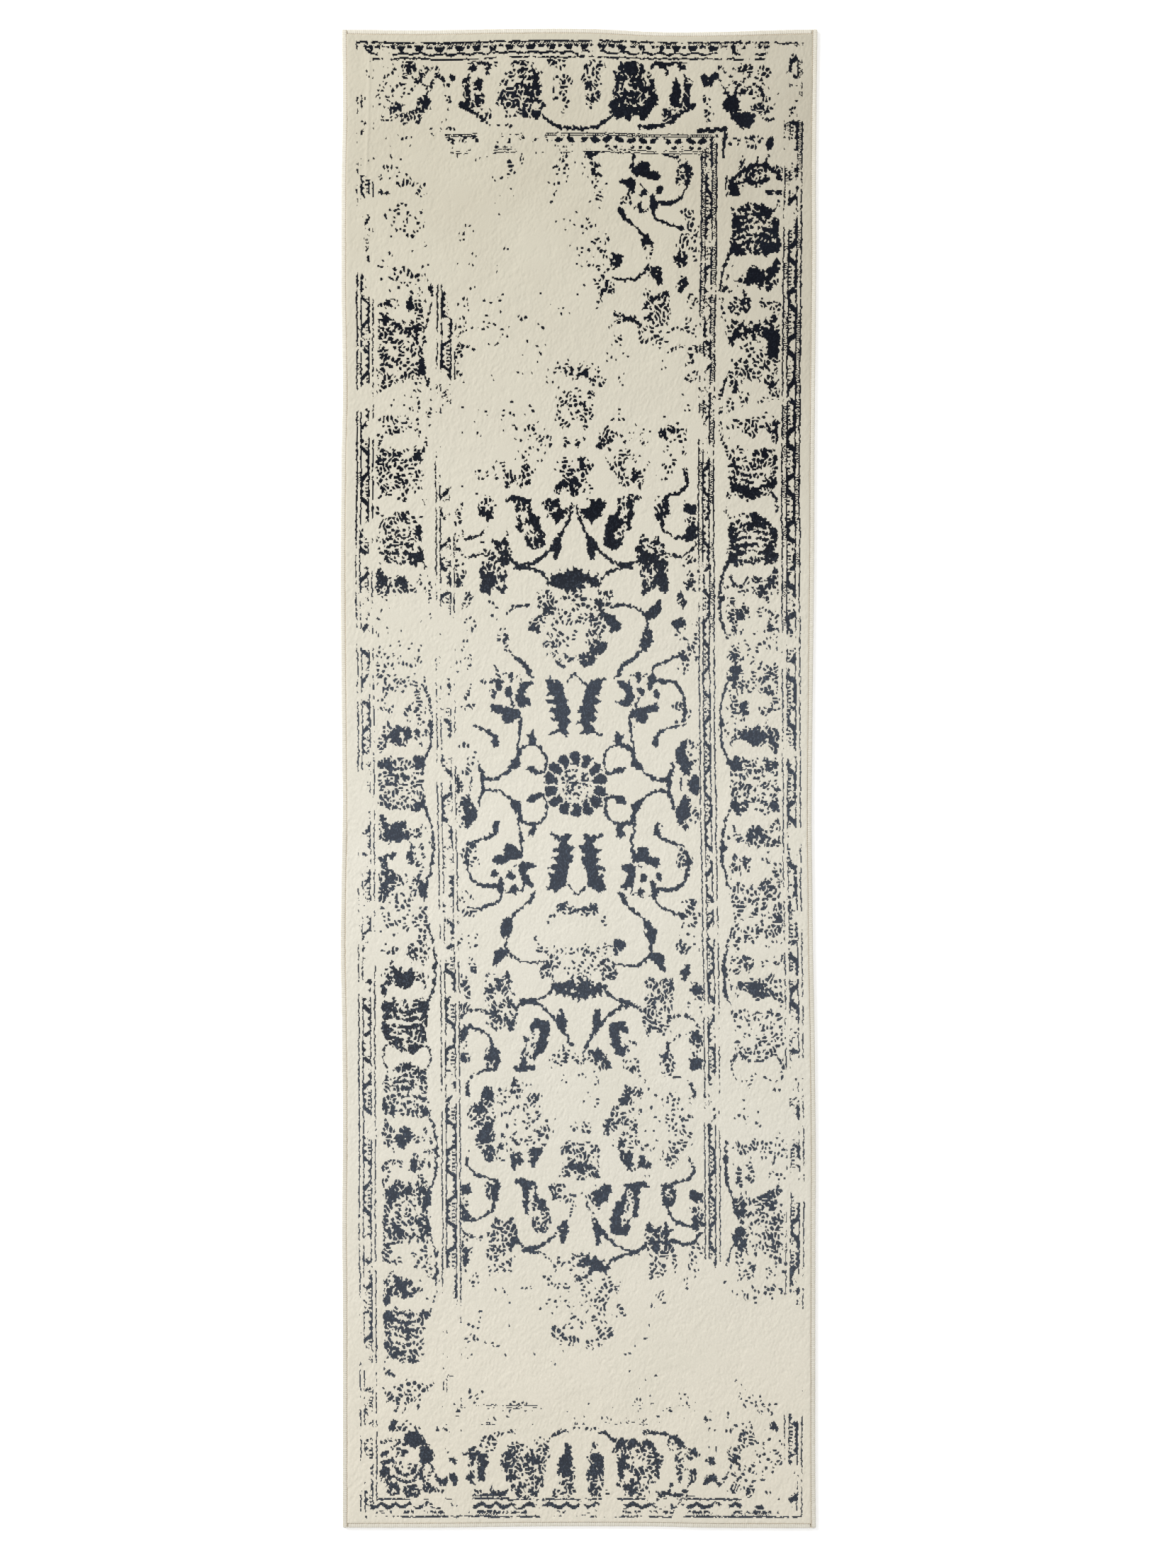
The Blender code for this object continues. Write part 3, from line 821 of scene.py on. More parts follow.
def inner_guard_end(x, g, e):
    """Stripes round the field, at its ends: two lines, blobs, specks and two lines."""
    blobs = oval(x % 17.0 - 8.5, e - 140.5 - 2.2 * zigzag(x, 34.0), 6.8, 4.2)
    specks = oval(x % 12.0 - 6, e - 150.5, 3.6, 2.4)
    rungs = (e > 131) & (e < 135) & every(x, 3.2, 0.4)
    stripes = layer(
        line(e, 131.6, 1.6), line(e, 134.8, 1.5), inked(rungs, 0.6),
        inked(blobs, 0.95), inked(specks, 0.75), line(e, 155.0, 1.4, 0.8), line(e, 158.8, 1.7),
    )
    return (e > 130.5) & (e < 160) & (before_mitre(e) <= 22 - g), stripes


def guards(x, y):
    """Ink of the ruled stripes before any wear, or -1 where there are none."""
    across = x - centre_x(y)
    u = np.abs(across)
    g = u - np.where(x < 0, LEFT_GUARD, RIGHT_GUARD)
    e = from_end(x, y)
    q = np.where(x < 0, x - left_line(y), right_line(y) - x)
    ink = np.full(x.shape, -1.0)
    for inside, stripes in (
        outer_guard(x, y, q, e), outer_guard_end(across, y, e, q),
        inner_guard(x, y, u, e), inner_guard_end(across, g, e),
    ):
        ink = np.where(inside, stripes, ink)
    return ink


def border_unit(along):
    """Where along the side border's drawing a place is, as its unit turns back and repeats along the rug."""
    turns = [along < 175, along < 395, along < 615]
    return np.select(turns, [along, 350 - along, along - 440], 790 - along)


def motifs(x, y):
    """Ink of the flowers and vines, before any wear."""
    skew = 0.03 * np.clip((950 - np.abs(y)) / 200, 0, 1) * np.clip((60 - y) / 300, 0, 1)
    along = np.abs(y + skew * x - CENTRE_Y)
    across = x - centre_x(y)
    u = np.abs(across)
    b = (u - FIELD_HALF) * np.where(x < 0, 145 / 134, 1.0)
    e = from_end(x, y)
    fold = np.where(along > FIELD_MIRROR, 2 * FIELD_MIRROR - along, along)
    ink = np.where((u < 175) & (e > 160), FIELD.read(u, fold), 0)
    in_side = (b > 25) & (b < 114)
    ink = np.where(in_side & (along < 835), SIDE.read(b, border_unit(along)), ink)
    ink = np.where(in_side & (along >= 835) & (e > 122), SPRAY.read(b, along - 835), ink)
    in_end = (e > 25) & (e < 129) & (b < 118)
    return np.where(in_end, layer(END.read(u, e), np.where(in_side & (e > 118), ink, 0)), ink)


def without_specks(cells):
    """The same cells, with lone ones dropped and pinholes closed."""
    padded = np.pad(cells, 1).astype(int)
    rows = padded[:-2] + padded[1:-1] + padded[2:]
    block = rows[:, :-2] + rows[:, 1:-1] + rows[:, 2:]
    return (cells & (block >= 3)) | (block >= 7)


def navy_cells(x, y):
    """Which cells are navy yarn, and how much of the pattern is left round each."""
    shape = x.shape
    jag_x = noise(shape, 3.0, 3.0, 11)
    jag_y = noise(shape, 3.0, 3.0, 12)
    ink = motifs(x + 1.05 * jag_x, y + 1.05 * jag_y)
    ruled = guards(x + 0.45 * jag_x, y + 0.5 * jag_y)
    is_ruled = ruled >= 0
    ink = np.where(is_ruled, ruled, ink)
    threads = normal(-np.abs(maze(shape, 11.0, 0.5, 13)))
    fine, coarse = noise(shape, 3.9, 4.1, 16), noise(shape, 14.0, 16.0, 14)
    lacy = normal(0.9 * threads + 0.4 * fine + 0.3 * coarse)
    patchy = normal(0.3 * threads + 0.45 * fine + 0.9 * coarse)
    spread = to_uniform(np.where(is_ruled, patchy, lacy))
    wear = np.clip(worn(x, y) + 0.05 * noise(shape, 60, 60, 15), 0, 1)
    left = np.clip(ink, 0, 1) ** (1.15 - 0.25 * freshness(y)) * (1 - wear)
    cells = left > spread * 0.96 + 0.012
    return np.where(is_ruled, cells, without_specks(cells)), soften(left, 5.0, 5.0)


# The underside's cells are joined into blocks of this many cells each way.
BLOCK = 8
# How deep the ribs, the columns of knots and the navy yarn lie, and how far below the CAD's top tufts stop.
RIB_DEPTH = 0.42
COLUMN_DEPTH = 0.16
NAVY_SUNK = 0.3
TUFT_DROP = 0.35
# The pile's outer edge: how wide its rounding is, how far it drops, and how far it leans outwards.
EDGE_ROUNDING = 2.2
EDGE_DROP = 0.6
EDGE_LEAN = 1.5
PILE_SEED = 31
OVERLOCK_SEED = 51
# Half the rug's size, and the cells of the plan that the pattern is made on.
HALF_WIDTH, HALF_LENGTH = 335.0, 1065.0
PLAN_COLUMNS, PLAN_ROWS = 670, 1420
# From here to its end the rug's length strays.
END_START = 800.0


# How far each side of the rug strays outwards from a straight line, at places along it. These are readings
# of the photograph's outline, printed by a measuring script and typed in less a constant, tenths smoothed.
RIGHT_STRAY = (
    (-1075, 1.8), (-950, 0.9), (-650, 1.2), (-550, 1.6), (-450, 0.9), (-350, -0.3), (-250, -2.3),
    (-150, -3.4), (-50, -4.3), (50, -3.5), (150, -2.5), (250, -1.3), (350, -0.5), (450, -0.3), (550, 0.5),
    (650, 1.5), (750, 2.2), (850, 1.7), (950, 2.5), (1075, 4.0),
)
LEFT_STRAY = (
    (-1075, 2.0), (-750, 2.0), (-650, 2.8), (-500, 2.0), (-350, 3.0), (-250, 4.8), (-150, 3.9), (-50, 2.2),
    (50, 3.0), (200, 4.4), (300, 4.9), (450, 3.9), (550, 2.1), (700, 3.9), (850, 3.7), (950, 2.1),
    (1075, 3.0),
)
HEAD_STRAY = (
    (-340, 1.4), (-220, 0.4), (-80, 2.4), (20, 2.1), (110, -2.3), (200, -2.0), (270, 0.2), (340, 1.7),
)
FOOT_STRAY = ((-340, -0.2), (-200, -0.4), (-60, -2.0), (100, -2.0), (180, -0.2), (340, 0.5))


def stray(at, points):
    """A smooth curve through the points, read at some places."""
    run = smooth(points)
    return np.interp(at, run[:, 0], run[:, 1])


def crease(x, y):
    """A soft ridge beside the left corner of the head end."""
    across = (x + 299 - 0.02 * (y - 900)) / 2.4
    return 0.8 * np.exp(-(across**2)) * np.clip((112 - np.abs(y - 945)) / 40, 0, 1)


def drape(points):
    """The rug as it lies: its sides stray, one corner flares, another is creased, and it isn't quite flat."""
    x, y, z = points[:, 0], points[:, 1], points[:, 2]
    side = x / HALF_WIDTH
    wide = np.clip(side, 0, 2) * stray(y, RIGHT_STRAY) - np.clip(-side, 0, 2) * stray(y, LEFT_STRAY)
    near_end = np.clip((np.abs(y) - END_START) / (HALF_LENGTH - END_START), 0, 1) ** 2
    long = near_end * np.where(y > 0, stray(x, HEAD_STRAY), -stray(x, FOOT_STRAY))
    flare = np.clip((y - 880.0) / 190.0, 0, 1) ** 2 * np.clip(side, 0, 1) ** 3
    lift = 0.5 * (1 + np.sin(y / 170.0 + 0.4) * np.cos(x / 210.0 + 0.9)) + 1.2 * flare + crease(x, y)
    return np.column_stack([x + wide, y + long, z + lift])


def make_object(name, points, loops, totals, materials, material_index=None, rounded=None):
    """A mesh object from polygons that are given as one run of vertex numbers and each one's count."""
    mesh = bpy.data.meshes.new(name)
    mesh.vertices.add(len(points))
    mesh.vertices.foreach_set("co", (drape(points) * MM).astype(np.float32).ravel())
    mesh.loops.add(len(loops))
    mesh.loops.foreach_set("vertex_index", loops.astype(np.int32))
    mesh.polygons.add(len(totals))
    starts = np.concatenate([[0], np.cumsum(totals)[:-1]])
    mesh.polygons.foreach_set("loop_start", starts.astype(np.int32))
    mesh.polygons.foreach_set("loop_total", totals.astype(np.int32))
    if material_index is not None:
        mesh.polygons.foreach_set("material_index", material_index.astype(np.int32))
    mesh.polygons.foreach_set("use_smooth", np.ones(len(totals), bool) if rounded is None else rounded)
    mesh.update(calc_edges=True)
    for material in materials:
        mesh.materials.append(material)
    obj = bpy.data.objects.new(name, mesh)
    bpy.context.scene.collection.objects.link(obj)
    return obj


def quads(a, b, c, d):
    return np.stack([a, b, c, d], axis=-1).reshape(-1, 4)


def cell_tops(vertex, r, c):
    """A quad for each cell, which faces up."""
    return quads(vertex[r, c], vertex[r, c + 1], vertex[r + 1, c + 1], vertex[r + 1, c])


def cell_bottoms(vertex, r, c):
    """A quad for each cell, which faces down."""
    return quads(vertex[r, c], vertex[r + 1, c], vertex[r + 1, c + 1], vertex[r, c + 1])


def walls(owned, top, bottom):
    """Upright quads round the owned cells, facing out."""
    padded = np.pad(owned, 1)
    inner = padded[1:-1, 1:-1]
    made = []
    rows, columns = np.nonzero(inner & ~padded[:-2, 1:-1])
    made.append((rows, columns, rows, columns + 1))
    rows, columns = np.nonzero(inner & ~padded[2:, 1:-1])
    made.append((rows + 1, columns + 1, rows + 1, columns))
    rows, columns = np.nonzero(inner & ~padded[1:-1, :-2])
    made.append((rows + 1, columns, rows, columns))
    rows, columns = np.nonzero(inner & ~padded[1:-1, 2:])
    made.append((rows, columns + 1, rows + 1, columns + 1))
    return np.vstack([
        quads(bottom[r0, c0], bottom[r1, c1], top[r1, c1], top[r0, c0]) for r0, c0, r1, c1 in made
    ])


def underside(owned, vertex):
    """The cells' flat undersides, joined into blocks where possible: the loops, and each polygon's count."""
    rows, columns = (n // BLOCK for n in owned.shape)
    full = owned[: rows * BLOCK, : columns * BLOCK].reshape(rows, BLOCK, columns, BLOCK).all(axis=(1, 3))
    around = np.pad(full, 1)
    j, i = np.nonzero(full)
    step = np.arange(BLOCK)
    still = np.zeros(BLOCK, int)
    ring_rows = np.concatenate([step, still + BLOCK, BLOCK - step, still])
    ring_columns = np.concatenate([still, step, still + BLOCK, BLOCK - step])
    ids = vertex[j[:, None] * BLOCK + ring_rows, i[:, None] * BLOCK + ring_columns]
    beside = (around[j + 1, i], around[j + 2, i + 1], around[j + 1, i + 2], around[j, i + 1])
    keep = np.repeat(~np.stack(beside, axis=1), BLOCK, axis=1)
    keep[:, ::BLOCK] = True
    fine = owned.copy()
    covered = np.repeat(np.repeat(full, BLOCK, axis=0), BLOCK, axis=1)
    fine[: covered.shape[0], : covered.shape[1]] &= ~covered
    single = cell_bottoms(vertex, *np.nonzero(fine))
    return np.concatenate([ids[keep], single.ravel()]), np.concatenate([keep.sum(1), np.full(len(single), 4)])


def pile_heights(x, y, navy_share, top, shape, seeds):
    """Height of each grid point: ribs across the rug, knots in columns, worn and trodden places."""
    row = np.arange(shape[0])[:, None] % 2
    column = np.arange(shape[1])[None] % 2
    knots = 0.16 * noise(shape, 2.0, 3.0, seeds) + 0.14 * noise(shape, 9.0, 9.0, seeds + 1)
    trodden = 0.2 * noise(shape, 38.0, 30.0, seeds + 2)
    relief = RIB_DEPTH * row + COLUMN_DEPTH * column + NAVY_SUNK * navy_share
    inward = np.minimum(x.max() - np.abs(x), y.max() - np.abs(y))
    rounding = EDGE_DROP * (1 - np.sqrt(1 - (1 - np.clip(inward / EDGE_ROUNDING, 0, 1)) ** 2))
    return top - TUFT_DROP - relief + np.clip(knots + trodden, -0.6, 0.3) - rounding


def surface_normals(x, y, z):
    """The draped surface's normal at each grid point, so that the zones' shading meets without a seam."""
    points = drape(np.column_stack([x.ravel(), y.ravel(), z.ravel()])).reshape(*x.shape, 3)
    across = np.gradient(points, axis=1)
    along = np.gradient(points, axis=0)
    normals = np.cross(across, along)
    return normals / np.linalg.norm(normals, axis=2, keepdims=True)


def zone_of(x, y):
    """The number of the zone that holds each point, counted inwards from the margin."""
    zone = np.zeros(x.shape, int)
    for i, name in enumerate(ZONES[1:], start=1):
        high = node_box(f"{name}_pile")[1]
        zone[(np.abs(x) < high[0]) & (np.abs(y) < high[1])] = i
    return zone


def read_plan(x, y):
    """Which cells are navy and how dense the pattern is there, read from the plan where each cell lies."""
    across = -HALF_WIDTH + (np.arange(PLAN_COLUMNS) + 0.5) * CELL_X
    along = -HALF_LENGTH + (np.arange(PLAN_ROWS) + 0.5) * CELL_Y
    is_navy, density = navy_cells(*np.meshgrid(across, along))
    column = np.clip((x + HALF_WIDTH) / CELL_X, 0, PLAN_COLUMNS - 1).astype(int)
    row = np.clip((y + HALF_LENGTH) / CELL_Y, 0, PLAN_ROWS - 1).astype(int)
    return is_navy[row, column], density[row, column]


def at_corners(cells):
    """The mean, at each grid point, of the four cells that meet there."""
    p = np.pad(cells, 1, mode="edge")
    return (p[:-1, :-1] + p[1:, :-1] + p[:-1, 1:] + p[1:, 1:]) / 4


def touched(owned):
    """Which grid points are a corner of an owned cell."""
    used = np.zeros((owned.shape[0] + 1, owned.shape[1] + 1), bool)
    for rows in (slice(None, -1), slice(1, None)):
        for columns in (slice(None, -1), slice(1, None)):
            used[rows, columns] |= owned
    return used


def add_zone(name, owned, is_navy, grid, base, normals, density, yarns):
    """One zone of the pile: the tops of its cells, its walls, and a flat underside at the base height."""
    used = touched(owned)
    vertex = np.full(used.shape, -1)
    count = int(used.sum())
    vertex[used] = np.arange(count)
    r, c = np.nonzero(owned)
    top = cell_tops(vertex, r, c)
    side = walls(owned, vertex, vertex + count)
    under, under_totals = underside(owned, vertex + count)
    loops = np.concatenate([top.ravel(), side.ravel(), under])
    totals = np.concatenate([np.full(len(top) + len(side), 4), under_totals])
    index = np.concatenate([is_navy[r, c].astype(int), np.zeros(len(totals) - len(top), int)])
    points = np.vstack([grid[used], np.column_stack([grid[used][:, :2], np.full(count, base)])])
    # Only the underside points that a polygon uses are kept.
    kept = np.zeros(len(points), bool)
    kept[loops] = True
    renumber = np.cumsum(kept) - 1
    rounded = np.arange(len(totals)) < len(top)
    piece = make_object(f"{name}_knots", points[kept], renumber[loops], totals, yarns, index, rounded)
    corner_normals = np.zeros((len(loops), 3), np.float32)
    corner_normals[: top.size] = normals[used][top.ravel()]
    piece.data.normals_split_custom_set(corner_normals)
    tone = piece.data.attributes.new("density", "FLOAT", "POINT")
    tone.data.foreach_set("value", np.tile(density[used], 2)[kept].astype(np.float32))
    return place(piece, f"{name}_pile")


def add_pile(cream, navy):
    """The pile's five zones, each a closed mesh of cream and navy knots."""
    low, high = node_box("margin_pile")
    low[:2] -= EDGE_LEAN
    high[:2] += EDGE_LEAN
    gx = np.linspace(low[0], high[0], round((high[0] - low[0]) / CELL_X) + 1)
    gy = np.linspace(low[1], high[1], round((high[1] - low[1]) / CELL_Y) + 1)
    x, y = np.meshgrid(gx, gy)
    cx, cy = np.meshgrid((gx[1:] + gx[:-1]) / 2, (gy[1:] + gy[:-1]) / 2)
    lying = drape(np.column_stack([cx.ravel(), cy.ravel(), np.zeros(cx.size)]))
    is_navy, density = read_plan(lying[:, 0].reshape(cx.shape), lying[:, 1].reshape(cx.shape))
    z = pile_heights(x, y, at_corners(is_navy.astype(float)), high[2], x.shape, PILE_SEED)
    grid = np.stack([x, y, z], axis=-1)
    shared = (is_navy, grid, low[2], surface_normals(x, y, z), at_corners(density), (cream, navy))
    zone = zone_of(cx, cy)
    return [add_zone(name, zone == i, *shared) for i, name in enumerate(ZONES)]


def place(piece, node):
    """The piece rides on the rug's root and stands for a CAD node, which is hidden."""
    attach(piece, "root")
    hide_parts(node)
    return piece


UP = np.array([0, 0, 1.0])


def tube(name, rings, materials):
    """A closed mesh through rings of points: an array of ring, point on it, and coordinate."""
    count, around = rings.shape[:2]
    vertex = np.arange(count * around).reshape(count, around)
    a, b = vertex[:-1], vertex[1:]
    sides = quads(a, np.roll(a, -1, axis=1), np.roll(b, -1, axis=1), b)
    loops = np.concatenate([sides.ravel(), vertex[0][::-1], vertex[-1]])
    totals = np.concatenate([np.full(len(sides), 4), [around, around]])
    return make_object(name, rings.reshape(-1, 3), loops, totals, materials)


def edge_frame(edge):
    """How an edge runs: the start of its outer line, the way along it, the way in from it, and its length."""
    low, high = node_box(f"{edge}_overlock")
    width, length = high[:2] - low[:2]
    start, along, inward, run = {
        "left": ((low[0], high[1]), (0, -1), (1, 0), length),
        "right": ((high[0], low[1]), (0, 1), (-1, 0), length),
        "head": ((high[0], high[1]), (-1, 0), (0, -1), width),
        "foot": ((low[0], low[1]), (1, 0), (0, 1), width),
    }[edge]
    return np.array([*start, 0.0]), np.array([*along, 0.0]), np.array([*inward, 0.0]), run


# The overlock's yarn: the pitch of its turns, its samples a turn, and the points round it.
WRAP_PITCH = 3.0
WRAP_SAMPLES = 6
WRAP_POINTS = 22
# Its size, its grooves' depth, its turns' unevenness, how square its outline is, and how long its ends close.
WRAP_WIDTH, WRAP_HEIGHT = 7.0, 9.0
WRAP_GROOVE = 0.55
WRAP_PLUMP = 0.12
WRAP_SQUARENESS = 0.38
WRAP_CLOSING = 2.2


def wrap_outline():
    """Points round one wrap of the overlock, as inset and height, and how far round each is from 0 to 1."""
    turn = np.linspace(0, 2 * np.pi, WRAP_POINTS, endpoint=False)
    inset = np.sign(np.cos(turn)) * np.abs(np.cos(turn)) ** WRAP_SQUARENESS
    height = np.sign(np.sin(turn)) * np.abs(np.sin(turn)) ** WRAP_SQUARENESS
    return inset, height, turn / (2 * np.pi)


def add_overlock(edge, material, seed):
    """The yarn that wraps one edge, turn beside turn."""
    start, along, inward, length = edge_frame(edge)
    turns = round(length / WRAP_PITCH)
    count = turns * WRAP_SAMPLES + 1
    run = np.linspace(0, length, count)
    inset, height, share = wrap_outline()
    rng = np.random.default_rng(seed)
    knots = rng.uniform(-WRAP_PLUMP, WRAP_PLUMP, turns + 1)
    plump = np.interp(run, np.arange(turns + 1) * length / turns, knots)
    phase = run[:, None] / length * turns + 0.5 * np.abs(share - 0.5)[None]
    swell = np.abs(np.sin(np.pi * phase)) ** 0.7
    size = -WRAP_GROOVE * (1 - swell) + plump[:, None]
    end = np.minimum(run, length - run)
    closing = np.sqrt(1 - (1 - np.clip(end / WRAP_CLOSING, 0.12, 1)) ** 2)[:, None]
    half_width, half_height = WRAP_WIDTH / 2 - WRAP_PLUMP, WRAP_HEIGHT / 2 - WRAP_PLUMP
    across = WRAP_WIDTH / 2 + inset[None] * (half_width + size) * closing
    up = WRAP_HEIGHT / 2 + height[None] * (half_height + size) * closing
    rings = start + run[:, None, None] * along + across[..., None] * inward + up[..., None] * UP
    return place(tube(f"{edge}_overlock_wraps", rings, (material,)), f"{edge}_overlock")


def round_line(centre, inward, radius):
    """Rings of points round a line of centres, with a radius for each point."""
    turn = np.linspace(0, 2 * np.pi, radius.shape[1], endpoint=False)
    outwards = np.cos(turn)[None, :, None] * inward + np.sin(turn)[None, :, None] * UP
    return centre[:, None] + radius[..., None] * outwards


# The cord: its radius, how deep and long its two plies' grooves are, its points round, and its sample pitch.
CORD_RADIUS = 1.2
PLY_DEPTH, PLY_LENGTH = 0.22, 5.0
CORD_SIDES = 10
CORD_SAMPLE = 1.6


def add_cord(edge, material):
    """The two-ply cord inside the overlock."""
    start, along, inward, length = edge_frame(edge)
    run = np.linspace(1.0, length - 1.0, round(length / CORD_SAMPLE))
    low, high = node_box(f"{edge}_filler_cord")
    outer = inset_of(edge, low, high)
    centre = start + run[:, None] * along + outer * inward + np.array([0, 0, (low[2] + high[2]) / 2])
    turn = np.linspace(0, 2 * np.pi, CORD_SIDES, endpoint=False)
    radius = CORD_RADIUS - PLY_DEPTH * np.abs(np.sin(turn[None] - run[:, None] * np.pi / PLY_LENGTH))
    strands = tube(f"{edge}_cord_strands", round_line(centre, inward, radius), (material,))
    return place(strands, f"{edge}_filler_cord")


def inset_of(edge, low, high):
    """How far in from the rug's edge the middle of a thin CAD solid lies."""
    axis = 0 if edge in ("left", "right") else 1
    rug = node_box(f"{edge}_overlock")
    outer = rug[0][axis] if edge in ("left", "foot") else rug[1][axis]
    return abs(outer - (low[axis] + high[axis]) / 2)


# The needle thread: its stitches' pitch, samples a stitch, lowest height, rise, shift outwards, and its size.
STITCH_PITCH = 3.1
STITCH_SAMPLES = 8
STITCH_LOW = 7.9
STITCH_RISE = 0.8
STITCH_SHIFT = 0.8
THREAD_RADIUS = 0.6
THREAD_SIDES = 6


def add_stitches(edge, material):
    """The needle thread along the overlock's inner side, which rises to the surface at each stitch."""
    start, along, inward, length = edge_frame(edge)
    stitches = round(length / STITCH_PITCH)
    run = np.linspace(THREAD_RADIUS, length - THREAD_RADIUS, stitches * STITCH_SAMPLES + 1)
    low, high = node_box(f"{edge}_needle_thread")
    outer = inset_of(edge, low, high) - STITCH_SHIFT
    beat = run / length * stitches
    height = STITCH_LOW + STITCH_RISE * np.abs(np.sin(np.pi * beat)) ** 0.6
    centre = start + run[:, None] * along + outer * inward + height[:, None] * UP
    radius = np.full((len(run), THREAD_SIDES), THREAD_RADIUS)
    thread = tube(f"{edge}_stitches", round_line(centre, inward, radius), (material,))
    return place(thread, f"{edge}_needle_thread")


def add_slab(name, node, step, relief, material):
    """A closed woven layer: over and under in turn, on both faces."""
    low, high = node_box(node)
    count = np.maximum(np.round((high - low)[:2] / step), 1).astype(int)
    gx, gy = (np.linspace(low[i], high[i], count[i] + 1) for i in (0, 1))
    x, y = np.meshgrid(gx, gy)
    column, row = np.meshgrid(np.arange(count[0] + 1), np.arange(count[1] + 1))
    weave = relief * (((row + column) % 2) * 2 - 1)
    inner = (column > 0) & (column < count[0]) & (row > 0) & (row < count[1])
    weave = np.where(inner, weave, 0)
    vertex = np.arange(x.size).reshape(x.shape)
    owned = np.ones((count[1], count[0]), bool)
    cells = np.nonzero(owned)
    base = vertex + x.size
    faces = np.vstack([cell_tops(vertex, *cells), walls(owned, vertex, base), cell_bottoms(base, *cells)])
    points = np.vstack([
        np.column_stack([x.ravel(), y.ravel(), (high[2] - relief + weave).ravel()]),
        np.column_stack([x.ravel(), y.ravel(), (low[2] + relief + weave).ravel()]),
    ])
    return place(make_object(name, points, faces.ravel(), np.full(len(faces), 4), (material,)), node)


# Materials. Colours are linear.


class Graph:
    """A short way to make a material's nodes."""

    def __init__(self, name, roughness, sheen):
        self.material = bpy.data.materials.new(name)
        self.material.use_nodes = True
        self.tree = self.material.node_tree
        self.shader = self.tree.nodes["Principled BSDF"]
        self.shader.inputs["Roughness"].default_value = roughness
        self.shader.inputs["Sheen Weight"].default_value = sheen
        self.shader.inputs["Sheen Roughness"].default_value = 0.45
        self.shader.inputs["Specular IOR Level"].default_value = 0.15
        self.place = self.tree.nodes.new("ShaderNodeTexCoord").outputs["Object"]

    def link(self, value, socket):
        if isinstance(value, bpy.types.NodeSocket):
            self.tree.links.new(value, socket)
        else:
            socket.default_value = value

    def noise(self, scale, detail=2.0, stretch=(1.0, 1.0, 1.0), rough=0.5):
        mapping = self.tree.nodes.new("ShaderNodeMapping")
        mapping.inputs["Scale"].default_value = stretch
        self.link(self.place, mapping.inputs["Vector"])
        node = self.tree.nodes.new("ShaderNodeTexNoise")
        node.inputs["Scale"].default_value = scale
        node.inputs["Detail"].default_value = detail
        node.inputs["Roughness"].default_value = rough
        self.link(mapping.outputs["Vector"], node.inputs["Vector"])
        return node.outputs["Fac"]

    def span(self, value, low, high, to_low=0.0, to_high=1.0, ramp="SMOOTHSTEP"):
        node = self.tree.nodes.new("ShaderNodeMapRange")
        node.interpolation_type = ramp
        for name, number in (("From Min", low), ("From Max", high), ("To Min", to_low), ("To Max", to_high)):
            node.inputs[name].default_value = number
        self.link(value, node.inputs["Value"])
        return node.outputs["Result"]

    def mix(self, share, a, b, blend="MIX"):
        node = self.tree.nodes.new("ShaderNodeMix")
        node.data_type = "RGBA"
        node.blend_type = blend
        for value, socket in ((share, node.inputs[0]), (a, node.inputs[6]), (b, node.inputs[7])):
            self.link(value, socket)
        return node.outputs[2]

    def multiply(self, a, b):
        node = self.tree.nodes.new("ShaderNodeMath")
        node.operation = "MULTIPLY"
        self.link(a, node.inputs[0])
        self.link(b, node.inputs[1])
        return node.outputs[0]

    def axis(self, index):
        node = self.tree.nodes.new("ShaderNodeSeparateXYZ")
        self.link(self.place, node.inputs[0])
        return node.outputs[index]

    def attribute(self, name):
        node = self.tree.nodes.new("ShaderNodeAttribute")
        node.attribute_name = name
        return node.outputs["Fac"]

    def bump(self, height, distance, strength=1.0):
        node = self.tree.nodes.new("ShaderNodeBump")
        node.inputs["Strength"].default_value = strength
        node.inputs["Distance"].default_value = distance
        self.link(height, node.inputs["Height"])
        self.link(node.outputs["Normal"], self.shader.inputs["Normal"])

    def finish(self, colour):
        self.link(colour, self.shader.inputs["Base Color"])
        return self.material


def cream_yarn():
    """Ivory yarn: darker and warmer towards the head end and warmer towards the foot, painted shade where the
    light falls off towards the rug's ends, with more painted shade at the right of the head end; whiter in
    the pattern; a little uneven from knot to knot.
    """
    g = Graph("cream_yarn", 0.92, 0.12)
    shade = (0.40, 0.365, 0.29, 1)
    pale, head, foot = (0.668, 0.64, 0.558, 1), (0.49, 0.4545, 0.362, 1), (0.685, 0.64, 0.538, 1)
    # Painted shade: the ivory turns darker and warmer towards the head end and warmer towards the foot, where
    # the light falls off.
    colour = g.mix(g.span(g.axis(1), -0.1, 0.85, ramp="LINEAR"), pale, head)
    colour = g.mix(g.span(g.axis(1), -0.45, -1.0), colour, foot)
    # Painted shade: the ivory is darker at the right of the head end.
    painted_shade_head_right = g.multiply(g.span(g.axis(0), 0.1, 0.34), g.span(g.axis(1), 0.2, 0.8, 0.0, 0.62))
    colour = g.mix(painted_shade_head_right, colour, shade)
    # The whiter cream of the pattern dims towards the head end: the same painted shade of the light falling
    # off.
    whiter = g.mix(g.span(g.axis(1), 0.0, 0.9), (0.75, 0.762, 0.765, 1), (0.65, 0.66, 0.70, 1))
    colour = g.mix(g.multiply(g.attribute("density"), 0.8), colour, whiter)
    colour = g.mix(g.span(g.noise(9.0, 3.0), 0.3, 0.75, 0.0, 0.25), colour, (0.60, 0.575, 0.475, 1))
    knots = g.span(g.noise(420.0, 1.0, (1.0, 0.75, 1.0)), 0.3, 0.75, 0.0, 0.22)
    colour = g.mix(knots, colour, (0.49, 0.47, 0.39, 1))
    g.bump(g.noise(900.0, 2.0, (1.0, 0.6, 1.0)), 0.0006, 0.5)
    return g.finish(colour)


